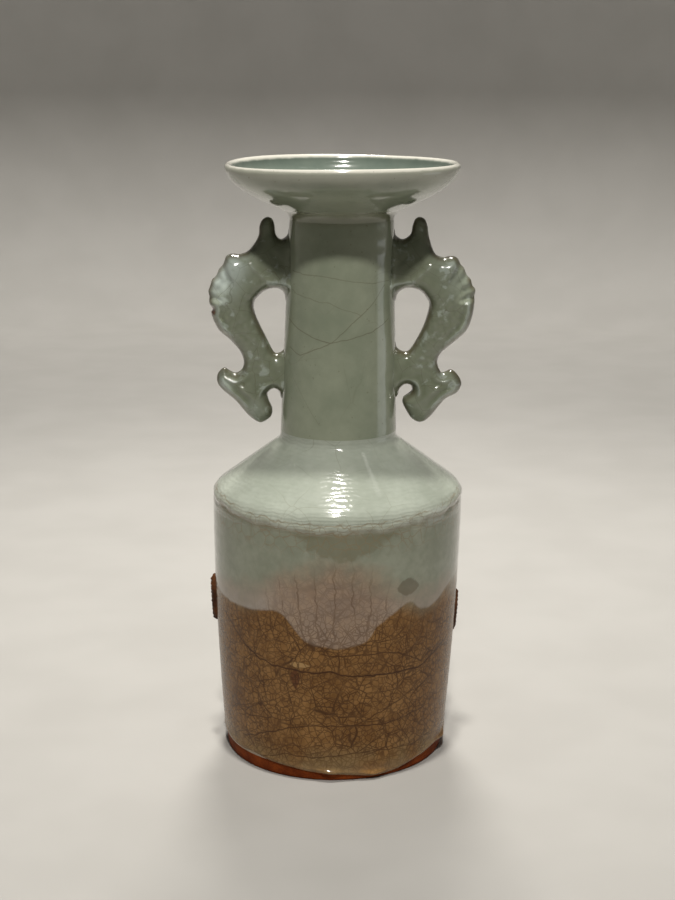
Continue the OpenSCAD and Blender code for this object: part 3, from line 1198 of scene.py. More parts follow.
@dataclass(frozen=True)
class Celadon:
    """Grey-green glaze with fine sparse cracks, paler where it runs thin at the lip's crest, with a painted
    reflection as a pale band just under the lip and painted shade round the neck's top under the mouth.
    """

    name: str
    thick: Colour = (0.265, 0.300, 0.220)
    thin: Colour = (0.345, 0.375, 0.282)
    cream: Colour = (0.76, 0.745, 0.66)
    crack: Colour = (0.165, 0.150, 0.095)
    olive: Colour = (0.150, 0.140, 0.070)
    # Strength of the painted reflection: a pale cream band just under the lip
    painted_sheen: float = 0.42
    cracks: tuple[Crack, ...] = ()
    drift: Cloud = Cloud(26, 3, 1.0)
    mottle: Cloud = Cloud(4.5, 3, 2.0)
    mottle_share: float = 0.3
    thinning: Span = (0.32, 0.68)
    web: Web = Web(21, 0.16, 0.18, 14, 2.2, 3.0)
    web_patches: Cloud = Cloud(30, 1, 4.0)
    web_span: Span = (0.42, 0.62)
    stray: Cloud = Cloud(7, 3, 5.0)
    stray_reach: float = 2.6
    crack_sink: float = 0.4
    seam_drop: float = 2.6
    seam_stray: float = 0.25
    seam_span: Span = (0.9, 0.15)
    seam_reach: float = 4.0
    seam_share: float = 0.5
    # Where the painted shade under the mouth lies, and how strong
    collar_rise: Span = (-3, 2)
    collar_fall: Span = (9, 4)
    collar_share: float = 0.45
    painted_sheen_span: Span = (-7.5, -2.0)
    crest_span: Span = (-1.7, -0.5)
    crest_stray: float = 0.9
    specks: Cloud = Cloud(1.1, 0, 6.0)
    speck_span: Span = (0.80, 0.83)
    speck_share: float = 0.4
    surface: Surface = Surface(0.10, 0.08, 0.5, 0.15, 0.04, Cloud(5.5, 2, 7.0), 0.10)

    def make(self, form: PotForm) -> bpy.types.Material:
        """Mixes the glaze for a member of the pot.

        Args:
            form: the pot, for the heights of its lip and its seams.

        Returns:
            The material.
        """
        bench = Bench(self.name)
        here = Round.on(bench, form)
        drift = here.cloud(self.drift)
        mottle = here.cloud(self.mottle)
        shade = (drift * (1 - self.mottle_share) + mottle * self.mottle_share).ease(*self.thinning)
        colour = shade.blend(self.thick, self.thin)
        marks = here.web(self.web)
        marks = marks * here.cloud(self.web_patches).ease(*self.web_span)
        stray = here.ragged(self.stray, self.stray_reach)
        for crack in self.cracks:
            marks = marks.math("MAXIMUM", here.crack(crack, stray))
        colour = marks.blend(colour, self.crack)
        # Olive in the seam is pooled glaze; olive round the neck's top is painted shade under the mouth
        for pooled in (self._seam(here, form, stray), self._shade_under_mouth(here, form)):
            colour = pooled.blend(colour, self.olive)
        # Painted reflection: a pale cream band just under the lip; the paler crest is thin glaze
        painted_sheen = here.above(form.total_h, self.painted_sheen_span) * self.painted_sheen
        ragged = (mottle - CLOUD_MIDDLE) * self.crest_stray
        crest = (here.z + ragged - form.total_h).ease(*self.crest_span)
        colour = painted_sheen.math("MAXIMUM", crest).blend(colour, self.cream)
        specks = here.cloud(self.specks).ease(*self.speck_span) * self.speck_share
        colour = specks.blend(colour, self.crack)
        surface = self.surface
        relief = here.cloud(surface.ripple) - marks * self.crack_sink
        return bench.shade(
            Base_Color=colour,
            Roughness=mottle * surface.roughness_spread + surface.roughness,
            Coat_Weight=shade * surface.coat_spread + surface.coat,
            Coat_Roughness=surface.coat_roughness,
            Normal=bench.bump(relief, surface.ripple_depth),
        )

    def _seam(self, here: Round, form: PotForm, stray: Wire) -> Wire:
        """Gives where the glaze pooled in the seam at the neck's foot.

        Args:
            here: the point's whereabouts.
            form: the pot.
            stray: how far the seam wanders, in millimetres.

        Returns:
            The share of pooled glaze.
        """
        gap = (here.z + stray * self.seam_stray - (form.seam_z - self.seam_drop)).math("ABSOLUTE")
        on_neck = here.radius.ease(form.seam_r + self.seam_reach, form.seam_r + self.seam_reach / 2)
        return gap.ease(*self.seam_span) * on_neck * self.seam_share

    def _shade_under_mouth(self, here: Round, form: PotForm) -> Wire:
        """Gives the painted shade round the top of the neck, under the mouth.

        Args:
            here: the point's whereabouts.
            form: the pot.

        Returns:
            The share of painted shade.
        """
        ring = here.above(form.neck_top_z, self.collar_rise) * here.above(form.neck_top_z, self.collar_fall)
        near = here.radius.ease(form.neck_top_r + self.collar_fall[0], form.neck_top_r)
        return ring * near * self.collar_share


@dataclass(frozen=True)
class Patch:
    """A stained patch on the wall: its middle, its half sizes and its colour."""

    degrees: float
    z: float
    half_degrees: float
    half_height: float
    colour: Colour
    strength: float
    cut_above: bool = False


# Patches that the firing left on the wall
WALL_PATCHES: tuple[Patch, ...] = (
    Patch(3, 112.5, 22, 11.5, (0.165, 0.158, 0.098), 0.66, True),
    Patch(33.5, 87, 6, 4.4, (0.120, 0.095, 0.058), 0.62),
    Patch(-17, 54, 5.5, 1.4, (0.50, 0.33, 0.15), 0.5),
    Patch(-19, 48.0, 2.2, 4.6, (0.090, 0.030, 0.012), 0.8),
    Patch(-118, 113, 22, 12, (0.150, 0.146, 0.092), 0.6, True),
    Patch(128, 62, 9, 5, (0.300, 0.190, 0.090), 0.5),
    Patch(-106, 58, 7, 5, (0.120, 0.060, 0.025), 0.6),
)


@dataclass(frozen=True)
class Fan:
    """Upright cracks that open in fans above lobes spaced evenly round the pot."""

    lobes: int = 3
    first: float = 3.0
    pitch: float = 6.8
    narrow: float = 0.62
    opening: float = 1 / 150
    stray: float = 0.21
    sharpness: float = 6.5
    line_span: Span = (0.42, 0.12)
    foot_span: Span = (60, 68)
    patches: Cloud = Cloud(8, 1, 19.0)
    patch_stretch: Colour = (1.0, 1.0, 0.35)
    patch_span: Span = (0.26, 0.42)
    strength: float = 0.66

    def lines(self, here: Round, stray: Wire) -> Wire:
        """Draws the fans.

        Args:
            here: the point's whereabouts.
            stray: how far the lines wander, in millimetres.

        Returns:
            Their strength, 0 between the lines.
        """
        turn = FULL_TURN / self.lobes
        lobe = ((here.degrees + (turn / 2 - self.first)) * (1 / turn)).math("FRACT") * turn - turn / 2
        spread = here.z * self.opening + self.narrow
        ray = (lobe / spread * (1 / self.pitch) + stray * self.stray + FAN_START).math("FRACT")
        line = ((ray - CLOUD_MIDDLE).math("ABSOLUTE") * self.sharpness).ease(*self.line_span)
        patches = here.bench.cloud(here.place * self.patch_stretch, self.patches).ease(*self.patch_span)
        return line * here.z.ease(*self.foot_span) * patches * self.strength


@dataclass(frozen=True)
class CrackledWall:
    """The body's glaze: celadon above, and brown with a dense network of cracks below, partly under a
    painted reflection veil.
    """

    name: str
    shoulder: Colour = (0.400, 0.438, 0.368)
    shoulder_thin: Colour = (0.475, 0.515, 0.442)
    celadon: Colour = (0.225, 0.242, 0.180)
    celadon_thin: Colour = (0.296, 0.312, 0.244)
    # Colour of the painted reflection veil over the brown glaze
    painted_veil: Colour = (0.430, 0.395, 0.362)
    brown: Colour = (0.165, 0.079, 0.025)
    amber: Colour = (0.280, 0.150, 0.053)
    olive: Colour = (0.235, 0.160, 0.075)
    crack: Colour = (0.052, 0.022, 0.009)
    # Colour of cracks seen through the painted reflection veil
    crack_veiled: Colour = (0.110, 0.062, 0.036)
    crack_pale: Colour = (0.200, 0.185, 0.120)
    stain: Colour = (0.235, 0.175, 0.100)
    gloss: float = 0.08
    rings: float = 0.0
    ring_pitch: float = 4.4
    ring_stray: float = 3.0
    drift: Cloud = Cloud(22, 3, 1.0)
    mottle: Cloud = Cloud(3.2, 4, 2.0)
    celadon_mottle: float = 0.4
    celadon_span: Span = (0.36, 0.66)
    brown_mottle: float = 0.55
    brown_span: Span = (0.34, 0.66)
    stray: Cloud = Cloud(5, 4, 5.0)
    stray_reach: float = 3.2
    crease_fade: Span = (-1.0, 2.5)
    crease_stray: float = 0.3
    zigzag: Cloud = Cloud(5.2, 3, 16.0)
    zigzag_reach: float = 6.5
    brown_fade: Span = (-6, 14)
    brown_drift: float = 16.0
    brown_rag: Cloud = Cloud(5, 2, 9.0)
    brown_rag_reach: float = 8.0
    # Edge, raggedness, relief and crack hiding of the painted reflection veil
    painted_veil_fade: Span = (-0.6, 0.9)
    painted_veil_rag: Cloud = Cloud(7, 2, 10.0)
    painted_veil_rag_reach: float = 2.4
    painted_veil_lift: float = 0.8
    veil_from: float = 0.3
    veil_rate: float = 1.5
    veil_most: float = 0.9
    foot_pool: Cloud = Cloud(12, 2, 8.0)
    foot_pool_span: Span = (0.3, 0.6)
    foot_pool_heights: Span = (21, 8)
    foot_pool_share: float = 0.8
    patch_rag: Cloud = Cloud(4.5, 3, 18.0)
    patch_rag_reach: float = 0.9
    patch_oval: float = 0.6
    patch_lozenge: float = 0.35
    patch_edge: Span = (1.05, 0.85)
    patch_cut: Span = (0.1, -0.15)
    webs: tuple[Web, ...] = (
        Web(2.4, 0.25, 0.66, 6, 0.9, 3.0),
        Web(5.4, 0.27, 0.75, 8, 1.2, 11.0), Web(13, 0.30, 0.85, 15, 2.4, 12.0),
    )
    web_patches: Cloud = Cloud(9, 2, 13.0)
    web_patch_span: Span = (0.25, 0.6)
    web_least: float = 0.6
    web_top: Span = (94, 64)
    web_top_least: float = 0.4
    web_foot: Span = (4, 15)
    web_foot_least: float = 0.45
    fan: Fan = Fan()
    sparse_web: Web = Web(17, 0.2, 0.34, 18, 3.0, 14.0)
    sparse_patches: Cloud = Cloud(24, 1, 15.0)
    sparse_span: Span = (0.4, 0.6)
    crack_sink: float = 0.5
    stain_patches: Cloud = Cloud(9, 2, 17.0)
    stain_span: Span = (0.3, 0.55)
    stain_line: Span = (0.6, 0.12)
    stain_share: float = 0.72
    second_height: float = 3.6
    second_line: Span = (0.55, 0.12)
    second_share: float = 0.55
    crease_web: Web = Web(4.6, 0.24, 0.8, 7, 1.6, 20.0)
    crease_web_below: Span = (-13, -4)
    crease_web_above: Span = (7, 1)
    glow_height: float = 0.5
    glow_line: Span = (3.6, 0.4)
    glow_share: float = 0.26
    brown_roughness: float = 0.10
    celadon_coat: float = 0.4
    painted_veil_coat: float = 0.15
    foot_coat: float = 0.5
    foot_coat_heights: Span = (9, 4)
    surface: Surface = Surface(0.11, 0.12, 0.15, 0.0, 0.05, Cloud(5.5, 2, 7.0), 0.10)

    def make(self, form: PotForm) -> bpy.types.Material:
        """Mixes the glaze of the body.

        Args:
            form: the pot, for the heights of its shoulder and its foot.

        Returns:
            The material.
        """
        bench = Bench(self.name)
        here = Round.on(bench, form)
        drift = here.cloud(self.drift)
        mottle = here.cloud(self.mottle)
        stray = here.ragged(self.stray, self.stray_reach)
        crease = self._crease_gap(here, form, stray)
        brown = self._brown_share(here, drift)
        painted_veil = self._painted_veil_share(here)
        colour = brown.blend(self._celadon(drift, mottle, crease), self._brown(here, drift, mottle))
        # Painted reflection: a pale pinkish veil over the brown glaze, above a lobed lower edge
        cover = here.height_of(REFLECTION_VEIL_COVER, *COVER_RANGE)
        colour = (painted_veil * brown * cover).blend(colour, self.painted_veil)
        for patch in WALL_PATCHES:
            colour = self._patch(here, patch).blend(colour, patch.colour)
        lines = self._cracks(here, brown, stray)
        # Cracks fade and turn paler where the painted reflection veil lies over them
        hidden = painted_veil * (cover - self.veil_from).math("MAXIMUM", 0.0) * self.veil_rate
        seen = lines * (1 - hidden.math("MINIMUM", self.veil_most))
        veiled = painted_veil.blend(self.crack, self.crack_veiled)
        colour = seen.blend(colour, brown.blend(self.crack_pale, veiled))
        colour = self._stain(here, crease).blend(colour, self.stain)
        surface = self.surface
        ripple = here.cloud(surface.ripple)
        ring = ((here.z + ripple * self.ring_stray) * self.ring_pitch).math("SINE") * self.rings
        relief = ripple + painted_veil * self.painted_veil_lift - seen * self.crack_sink + ring
        foot = here.z.ease(*self.foot_coat_heights) * self.foot_coat
        return bench.shade(
            Base_Color=colour,
            Roughness=mottle * surface.roughness_spread + brown * self.brown_roughness + surface.roughness,
            Specular_IOR_Level=self.gloss,
            Coat_Weight=(1 - brown) * self.celadon_coat + painted_veil * self.painted_veil_coat + foot + surface.coat,
            Coat_Roughness=surface.coat_roughness,
            Normal=bench.bump(relief, surface.ripple_depth),
        )

    def _celadon(self, drift: Wire, mottle: Wire, crease: Wire) -> Wire:
        """Gives the celadon's colour, paler above the crease.

        Args:
            drift: wide patches.
            mottle: small patches.
            crease: height above the crease, in millimetres.

        Returns:
            The colour.
        """
        share = drift * (1 - self.celadon_mottle) + mottle * self.celadon_mottle
        cloudy = share.ease(*self.celadon_span)
        above = cloudy.blend(self.shoulder, self.shoulder_thin)
        below = cloudy.blend(self.celadon, self.celadon_thin)
        return crease.ease(*self.crease_fade).blend(below, above)

    def _brown(self, here: Round, drift: Wire, mottle: Wire) -> Wire:
        """Gives the brown glaze's colour, olive where it pooled above the foot.

        Args:
            here: the point's whereabouts.
            drift: wide patches.
            mottle: small patches.

        Returns:
            The colour.
        """
        share = drift * (1 - self.brown_mottle) + mottle * self.brown_mottle
        warm = share.ease(*self.brown_span).blend(self.brown, self.amber)
        pooled = here.cloud(self.foot_pool).ease(*self.foot_pool_span)
        low = here.z.ease(*self.foot_pool_heights) * pooled * self.foot_pool_share
        return low.blend(warm, self.olive)

    def _crease_gap(self, here: Round, form: PotForm, stray: Wire) -> Wire:
        """Gives how far above the crease under the shoulder a point is.

        Args:
            here: the point's whereabouts.
            form: the pot.
            stray: how far the crease wanders.

        Returns:
            The gap in millimetres.
        """
        side = (here.degrees * math.radians(1)).math("SINE")
        level = side * side * CREASE_DIP + (form.belly_z + CREASE_LIFT)
        zigzag = here.ragged(self.zigzag, self.zigzag_reach)
        return here.z + stray * self.crease_stray + zigzag - level

    def _brown_share(self, here: Round, drift: Wire) -> Wire:
        """Gives how brown the glaze is, from 0 above to 1 below.

        Args:
            here: the point's whereabouts.
            drift: wide patches.

        Returns:
            The share of brown.
        """
        top = here.height_of(BROWN_EDGE, *BROWN_RANGE)
        ragged = (drift - CLOUD_MIDDLE) * self.brown_drift
        ragged = ragged + here.ragged(self.brown_rag, self.brown_rag_reach)
        return (top + ragged - here.z).ease(*self.brown_fade)

    def _painted_veil_share(self, here: Round) -> Wire:
        """Gives where the painted reflection veil lies, with its lobed lower edge.

        Args:
            here: the point's whereabouts.

        Returns:
            The share of the painted reflection veil.
        """
        edge = here.height_of(REFLECTION_VEIL_EDGE, *REFLECTION_VEIL_RANGE)
        soft = here.ragged(self.painted_veil_rag, self.painted_veil_rag_reach)
        return (here.z + soft - edge).ease(*self.painted_veil_fade)

    def _patch(self, here: Round, patch: Patch) -> Wire:
        """Gives how strongly a patch stains a point.

        Args:
            here: the point's whereabouts.
            patch: the patch.

        Returns:
            The share of its colour.
        """
        across = (here.degrees - patch.degrees) * (1 / patch.half_degrees)
        up = (here.z - patch.z) * (1 / patch.half_height)
        own = replace(self.patch_rag, seed=self.patch_rag.seed + patch.degrees)
        ragged = here.ragged(own, self.patch_rag_reach)
        oval = (across * across + up * up).math("SQRT")
        lozenge = across.math("ABSOLUTE") + up.math("ABSOLUTE")
        share = (oval * self.patch_oval + lozenge * self.patch_lozenge + ragged).ease(*self.patch_edge)
        if patch.cut_above:
            share = share * up.ease(*self.patch_cut)
        return share * patch.strength

    def _cracks(self, here: Round, brown: Wire, stray: Wire) -> Wire:
        """Gives all the wall's cracks, dense in the brown glaze and sparse above it.

        Args:
            here: the point's whereabouts.
            brown: how brown the glaze is.
            stray: how far lines wander, in millimetres.

        Returns:
            The cracks' strength.
        """
        fine, *wider = (here.web(web) for web in self.webs)
        dense = fine
        for web in wider:
            dense = dense.math("MAXIMUM", web)
        patches = here.cloud(self.web_patches).ease(*self.web_patch_span)
        dense = dense * (patches * (1 - self.web_least) + self.web_least)
        foot = here.z.ease(*self.web_foot) * (1 - self.web_foot_least) + self.web_foot_least
        dense = dense * here.z.ease(*self.web_top).math("MAXIMUM", self.web_top_least) * foot
        dense = dense.math("MAXIMUM", self.fan.lines(here, stray)) * brown
        sparse = here.web(self.sparse_web)
        sparse = sparse * here.cloud(self.sparse_patches).ease(*self.sparse_span)
        lines = dense.math("MAXIMUM", sparse)
        for crack in WALL_CRACKS:
            lines = lines.math("MAXIMUM", here.crack(crack, stray))
        return lines

    def _stain(self, here: Round, crease: Wire) -> Wire:
        """Gives the stains along the crease that runs round just under the shoulder.

        Args:
            here: the point's whereabouts.
            crease: height above the crease, in millimetres.

        Returns:
            The stains' strength.
        """
        patches = here.cloud(self.stain_patches).ease(*self.stain_span)
        line = crease.math("ABSOLUTE").ease(*self.stain_line) * patches
        second = (crease - self.second_height).math("ABSOLUTE").ease(*self.second_line)
        second = second * patches * self.second_share
        web = here.web(self.crease_web)
        web = web * crease.ease(*self.crease_web_below) * crease.ease(*self.crease_web_above)
        glow = (crease - self.glow_height).math("ABSOLUTE").ease(*self.glow_line) * self.glow_share
        line = line.math("MAXIMUM", web) * self.stain_share
        return line.math("MAXIMUM", second).math("MAXIMUM", glow)


@dataclass(frozen=True)
class CarvedCeladon:
    """Celadon over a carved moulding: pooled dark in the hollows, thin and warm on the edges."""

    name: str
    pooled: Colour = (0.185, 0.210, 0.142)
    plain: Colour = (0.234, 0.258, 0.188)
    milky: Colour = (0.52, 0.59, 0.55)
    edge: Colour = (0.085, 0.065, 0.030)
    burn: Colour = (0.110, 0.045, 0.022)
    mottle: Cloud = Cloud(3.0, 4, 1.0)
    height_share: float = 0.75
    mottle_share: float = 0.4
    plain_span: Span = (0.25, 0.85)
    clots: Cloud = Cloud(4.5, 3, 2.0)
    clot_bend: float = 7.0
    clot_reach: float = 2.5
    clot_seed: float = 6.0
    clot_span: Span = (0.55, 0.68)
    clot_share: float = 0.45
    crest_span: Span = (0.72, 1.0)
    crest_share: float = 0.35
    pool_span: Span = (0.10, 0.5)
    edge_patches: Cloud = Cloud(6, 2, 3.0)
    edge_span: Span = (0.25, 0.55)
    edge_share: float = 0.8
    burn_span: Span = (0.25, 0.6)
    web: Web = Web(9, 0.12, 0.3, 8, 1.2, 4.0)
    surface: Surface = Surface(0.12, 0.12, 0.4, 0.2, 0.05, Cloud(2.6, 2, 5.0), 0.12)

    def make(self) -> bpy.types.Material:
        """Mixes the glaze of the handles.

        Returns:
            The material.
        """
        bench = Bench(self.name)
        place = bench.place()
        height, thin, pool, burn = (bench.painted(mark) for mark in Mark)
        mottle = bench.cloud(place, self.mottle)
        bent = bench.shifted(place, self.clot_bend, self.clot_reach, self.clot_seed)
        clots = bench.cloud(bent, self.clots).ease(*self.clot_span)
        share = (height * self.height_share + mottle * self.mottle_share).ease(*self.plain_span)
        colour = share.blend(self.pooled, self.plain)
        colour = (clots * self.clot_share).blend(colour, self.milky)
        colour = (height.ease(*self.crest_span) * self.crest_share).blend(colour, self.milky)
        colour = (pool * mottle.ease(*self.pool_span)).blend(colour, self.milky)
        patches = bench.cloud(place, self.edge_patches).ease(*self.edge_span)
        colour = (thin * patches * self.edge_share).blend(colour, self.edge)
        colour = burn.ease(*self.burn_span).blend(colour, self.burn)
        colour = bench.web(place, self.web).blend(colour, self.edge)
        surface = self.surface
        return bench.shade(
            Base_Color=colour,
            Roughness=mottle * surface.roughness_spread + surface.roughness,
            Coat_Weight=share * surface.coat_spread + surface.coat,
            Coat_Roughness=surface.coat_roughness,
            Normal=bench.bump(bench.cloud(place, surface.ripple), surface.ripple_depth),
        )


@dataclass(frozen=True)
class BareClay:
    """Fired clay with no glaze: grainy, uneven in colour, and dull."""

    name: str
    dark: Colour
    light: Colour
    grit: Colour
    roughness: float
    grain_depth: float = 0.05
    drift: Cloud = Cloud(9, 3, 1.0)
    grain: Cloud = Cloud(0.55, 3, 2.0)
    grain_share: float = 0.35
    light_span: Span = (0.35, 0.65)
    grit_span: Span = (0.66, 0.74)
    grit_share: float = 0.6
    roughness_spread: float = 0.15
    gloss: float = 0.05

    def make(self) -> bpy.types.Material:
        """Mixes the clay.

        Returns:
            The material.
        """
        bench = Bench(self.name)
        place = bench.place()
        drift = bench.cloud(place, self.drift)
        grain = bench.cloud(place, self.grain)
        share = (drift * (1 - self.grain_share) + grain * self.grain_share).ease(*self.light_span)
        colour = share.blend(self.dark, self.light)
        colour = (grain.ease(*self.grit_span) * self.grit_share).blend(colour, self.grit)
        return bench.shade(
            Base_Color=colour,
            Roughness=drift * self.roughness_spread + self.roughness,
            Specular_IOR_Level=self.gloss,
            Normal=bench.bump(grain, self.grain_depth),
        )


# ---------------------------------------------------------------- dressing


BISCUIT = BareClay("biscuit", dark=(0.42, 0.34, 0.25), light=(0.60, 0.52, 0.42),
                   grit=(0.20, 0.12, 0.08), roughness=0.6)
FOOT_CLAY = BareClay("bare_foot", dark=(0.100, 0.018, 0.004), light=(0.250, 0.055, 0.010),
                     grit=(0.05, 0.012, 0.005), roughness=0.55)
BURNT_CLAY = BareClay("burnt_clay", dark=(0.035, 0.014, 0.008), light=(0.130, 0.052, 0.022),
                      grit=(0.22, 0.15, 0.06), roughness=0.35, grain_depth=0.12)
NECK_GLAZE = Celadon("neck_glaze", cracks=NECK_CRACKS)
# Darker copy of the neck's celadon: painted shade of the dish's underside
DISH_GLAZE = Celadon("celadon", thick=(0.218, 0.248, 0.180), thin=(0.282, 0.306, 0.228))
INSIDE_GLAZE = Celadon("pale_celadon", thick=(0.144, 0.184, 0.152), thin=(0.192, 0.230, 0.193), painted_sheen=0.0)
WALL_GLAZE = CrackledWall("wall_glaze")
SHOULDER_GLAZE = CrackledWall("shoulder_glaze", gloss=0.5, rings=0.28)


def dress(piece: bpy.types.Object, material: bpy.types.Material, slot: Slot,
          *nodes: str) -> bpy.types.Object:
    """Gives a piece its finish and its place in the frame.

    Args:
        piece: the piece.
        material: its finish.
        slot: the record's slot for that finish, not used.
        nodes: the CAD nodes that it stands for.

    Returns:
        The same piece.
    """
    piece.data.materials.append(material)
    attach(piece, BODY)
    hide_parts(*nodes)
    LOG.info("%s: %d faces for %s", piece.name, len(piece.data.polygons), ", ".join(nodes))
    return piece


@dataclass
class ClayPot:
    """The thrown clay members under the glaze."""

    form: PotForm
    columns: int = 160
    step: float = 2.0
    disc_rows: int = 6
    wall_rows: int = 40
    foot_columns: int = 256
    foot_chamfer: float = 1.2
    chamfer_steps: int = 5

    def build(self) -> None:
        """Throws each member and gives it its clay."""
        form, glaze = self.form, self.form.glaze_t
        biscuit = BISCUIT.make()
        dress(self._foot(), FOOT_CLAY.make(), Slot.FOOT, "foot_ring")
        z = np.linspace(form.foot_h, form.floor_z, self.disc_rows)
        side = np.stack([form.wall_radius(z) - glaze, z], axis=1)
        disc = solid("base_disc", form, [[0, form.foot_h], *side, [0, form.floor_z]], self.columns)
        dress(disc, biscuit, Slot.BISCUIT, "base_disc")
        z = np.linspace(form.floor_z, form.belly_z, self.wall_rows)
        wall = np.stack([form.wall_radius(z) - glaze, z], axis=1)
        members = (
            ("body_wall", wall, form.hollow_low(glaze)),
            ("shoulder", form.shoulder_side(glaze), form.hollow_high(glaze)),
            ("neck", form.neck_side(glaze), form.bore_side(glaze)),
            ("mouth_dish", form.mouth_outside(glaze), form.mouth_inside(glaze)[::-1]),
        )
        for name, outer, inner in members:
            piece = skin(name, form, outer, inner, self.step, self.columns)
            dress(piece, biscuit, Slot.BISCUIT, name)

    def _foot(self) -> bpy.types.Object:
        """Turns the foot ring, with its chamfers worn a little round.

        Returns:
            The ring.
        """
        form, cut = self.form, self.foot_chamfer
        foot_r = float(form.wall_radius(np.array(0.0))) - form.glaze_t
        section = np.concatenate([
            [[form.foot_inner_r + cut, 0], [(form.foot_inner_r + foot_r) / 2, 0]],
            arc([foot_r - cut, cut], cut, -90, 0, self.chamfer_steps),
            [[foot_r + (form.foot_side_r - foot_r) / 2, form.foot_h / 2], [form.foot_side_r, form.foot_h],
             [form.foot_inner_r, form.foot_h]],
            arc([form.foot_inner_r + cut, cut], cut, 180, 270, self.chamfer_steps)[:-1],
        ])
        return solid("foot_ring", form, section, self.foot_columns)


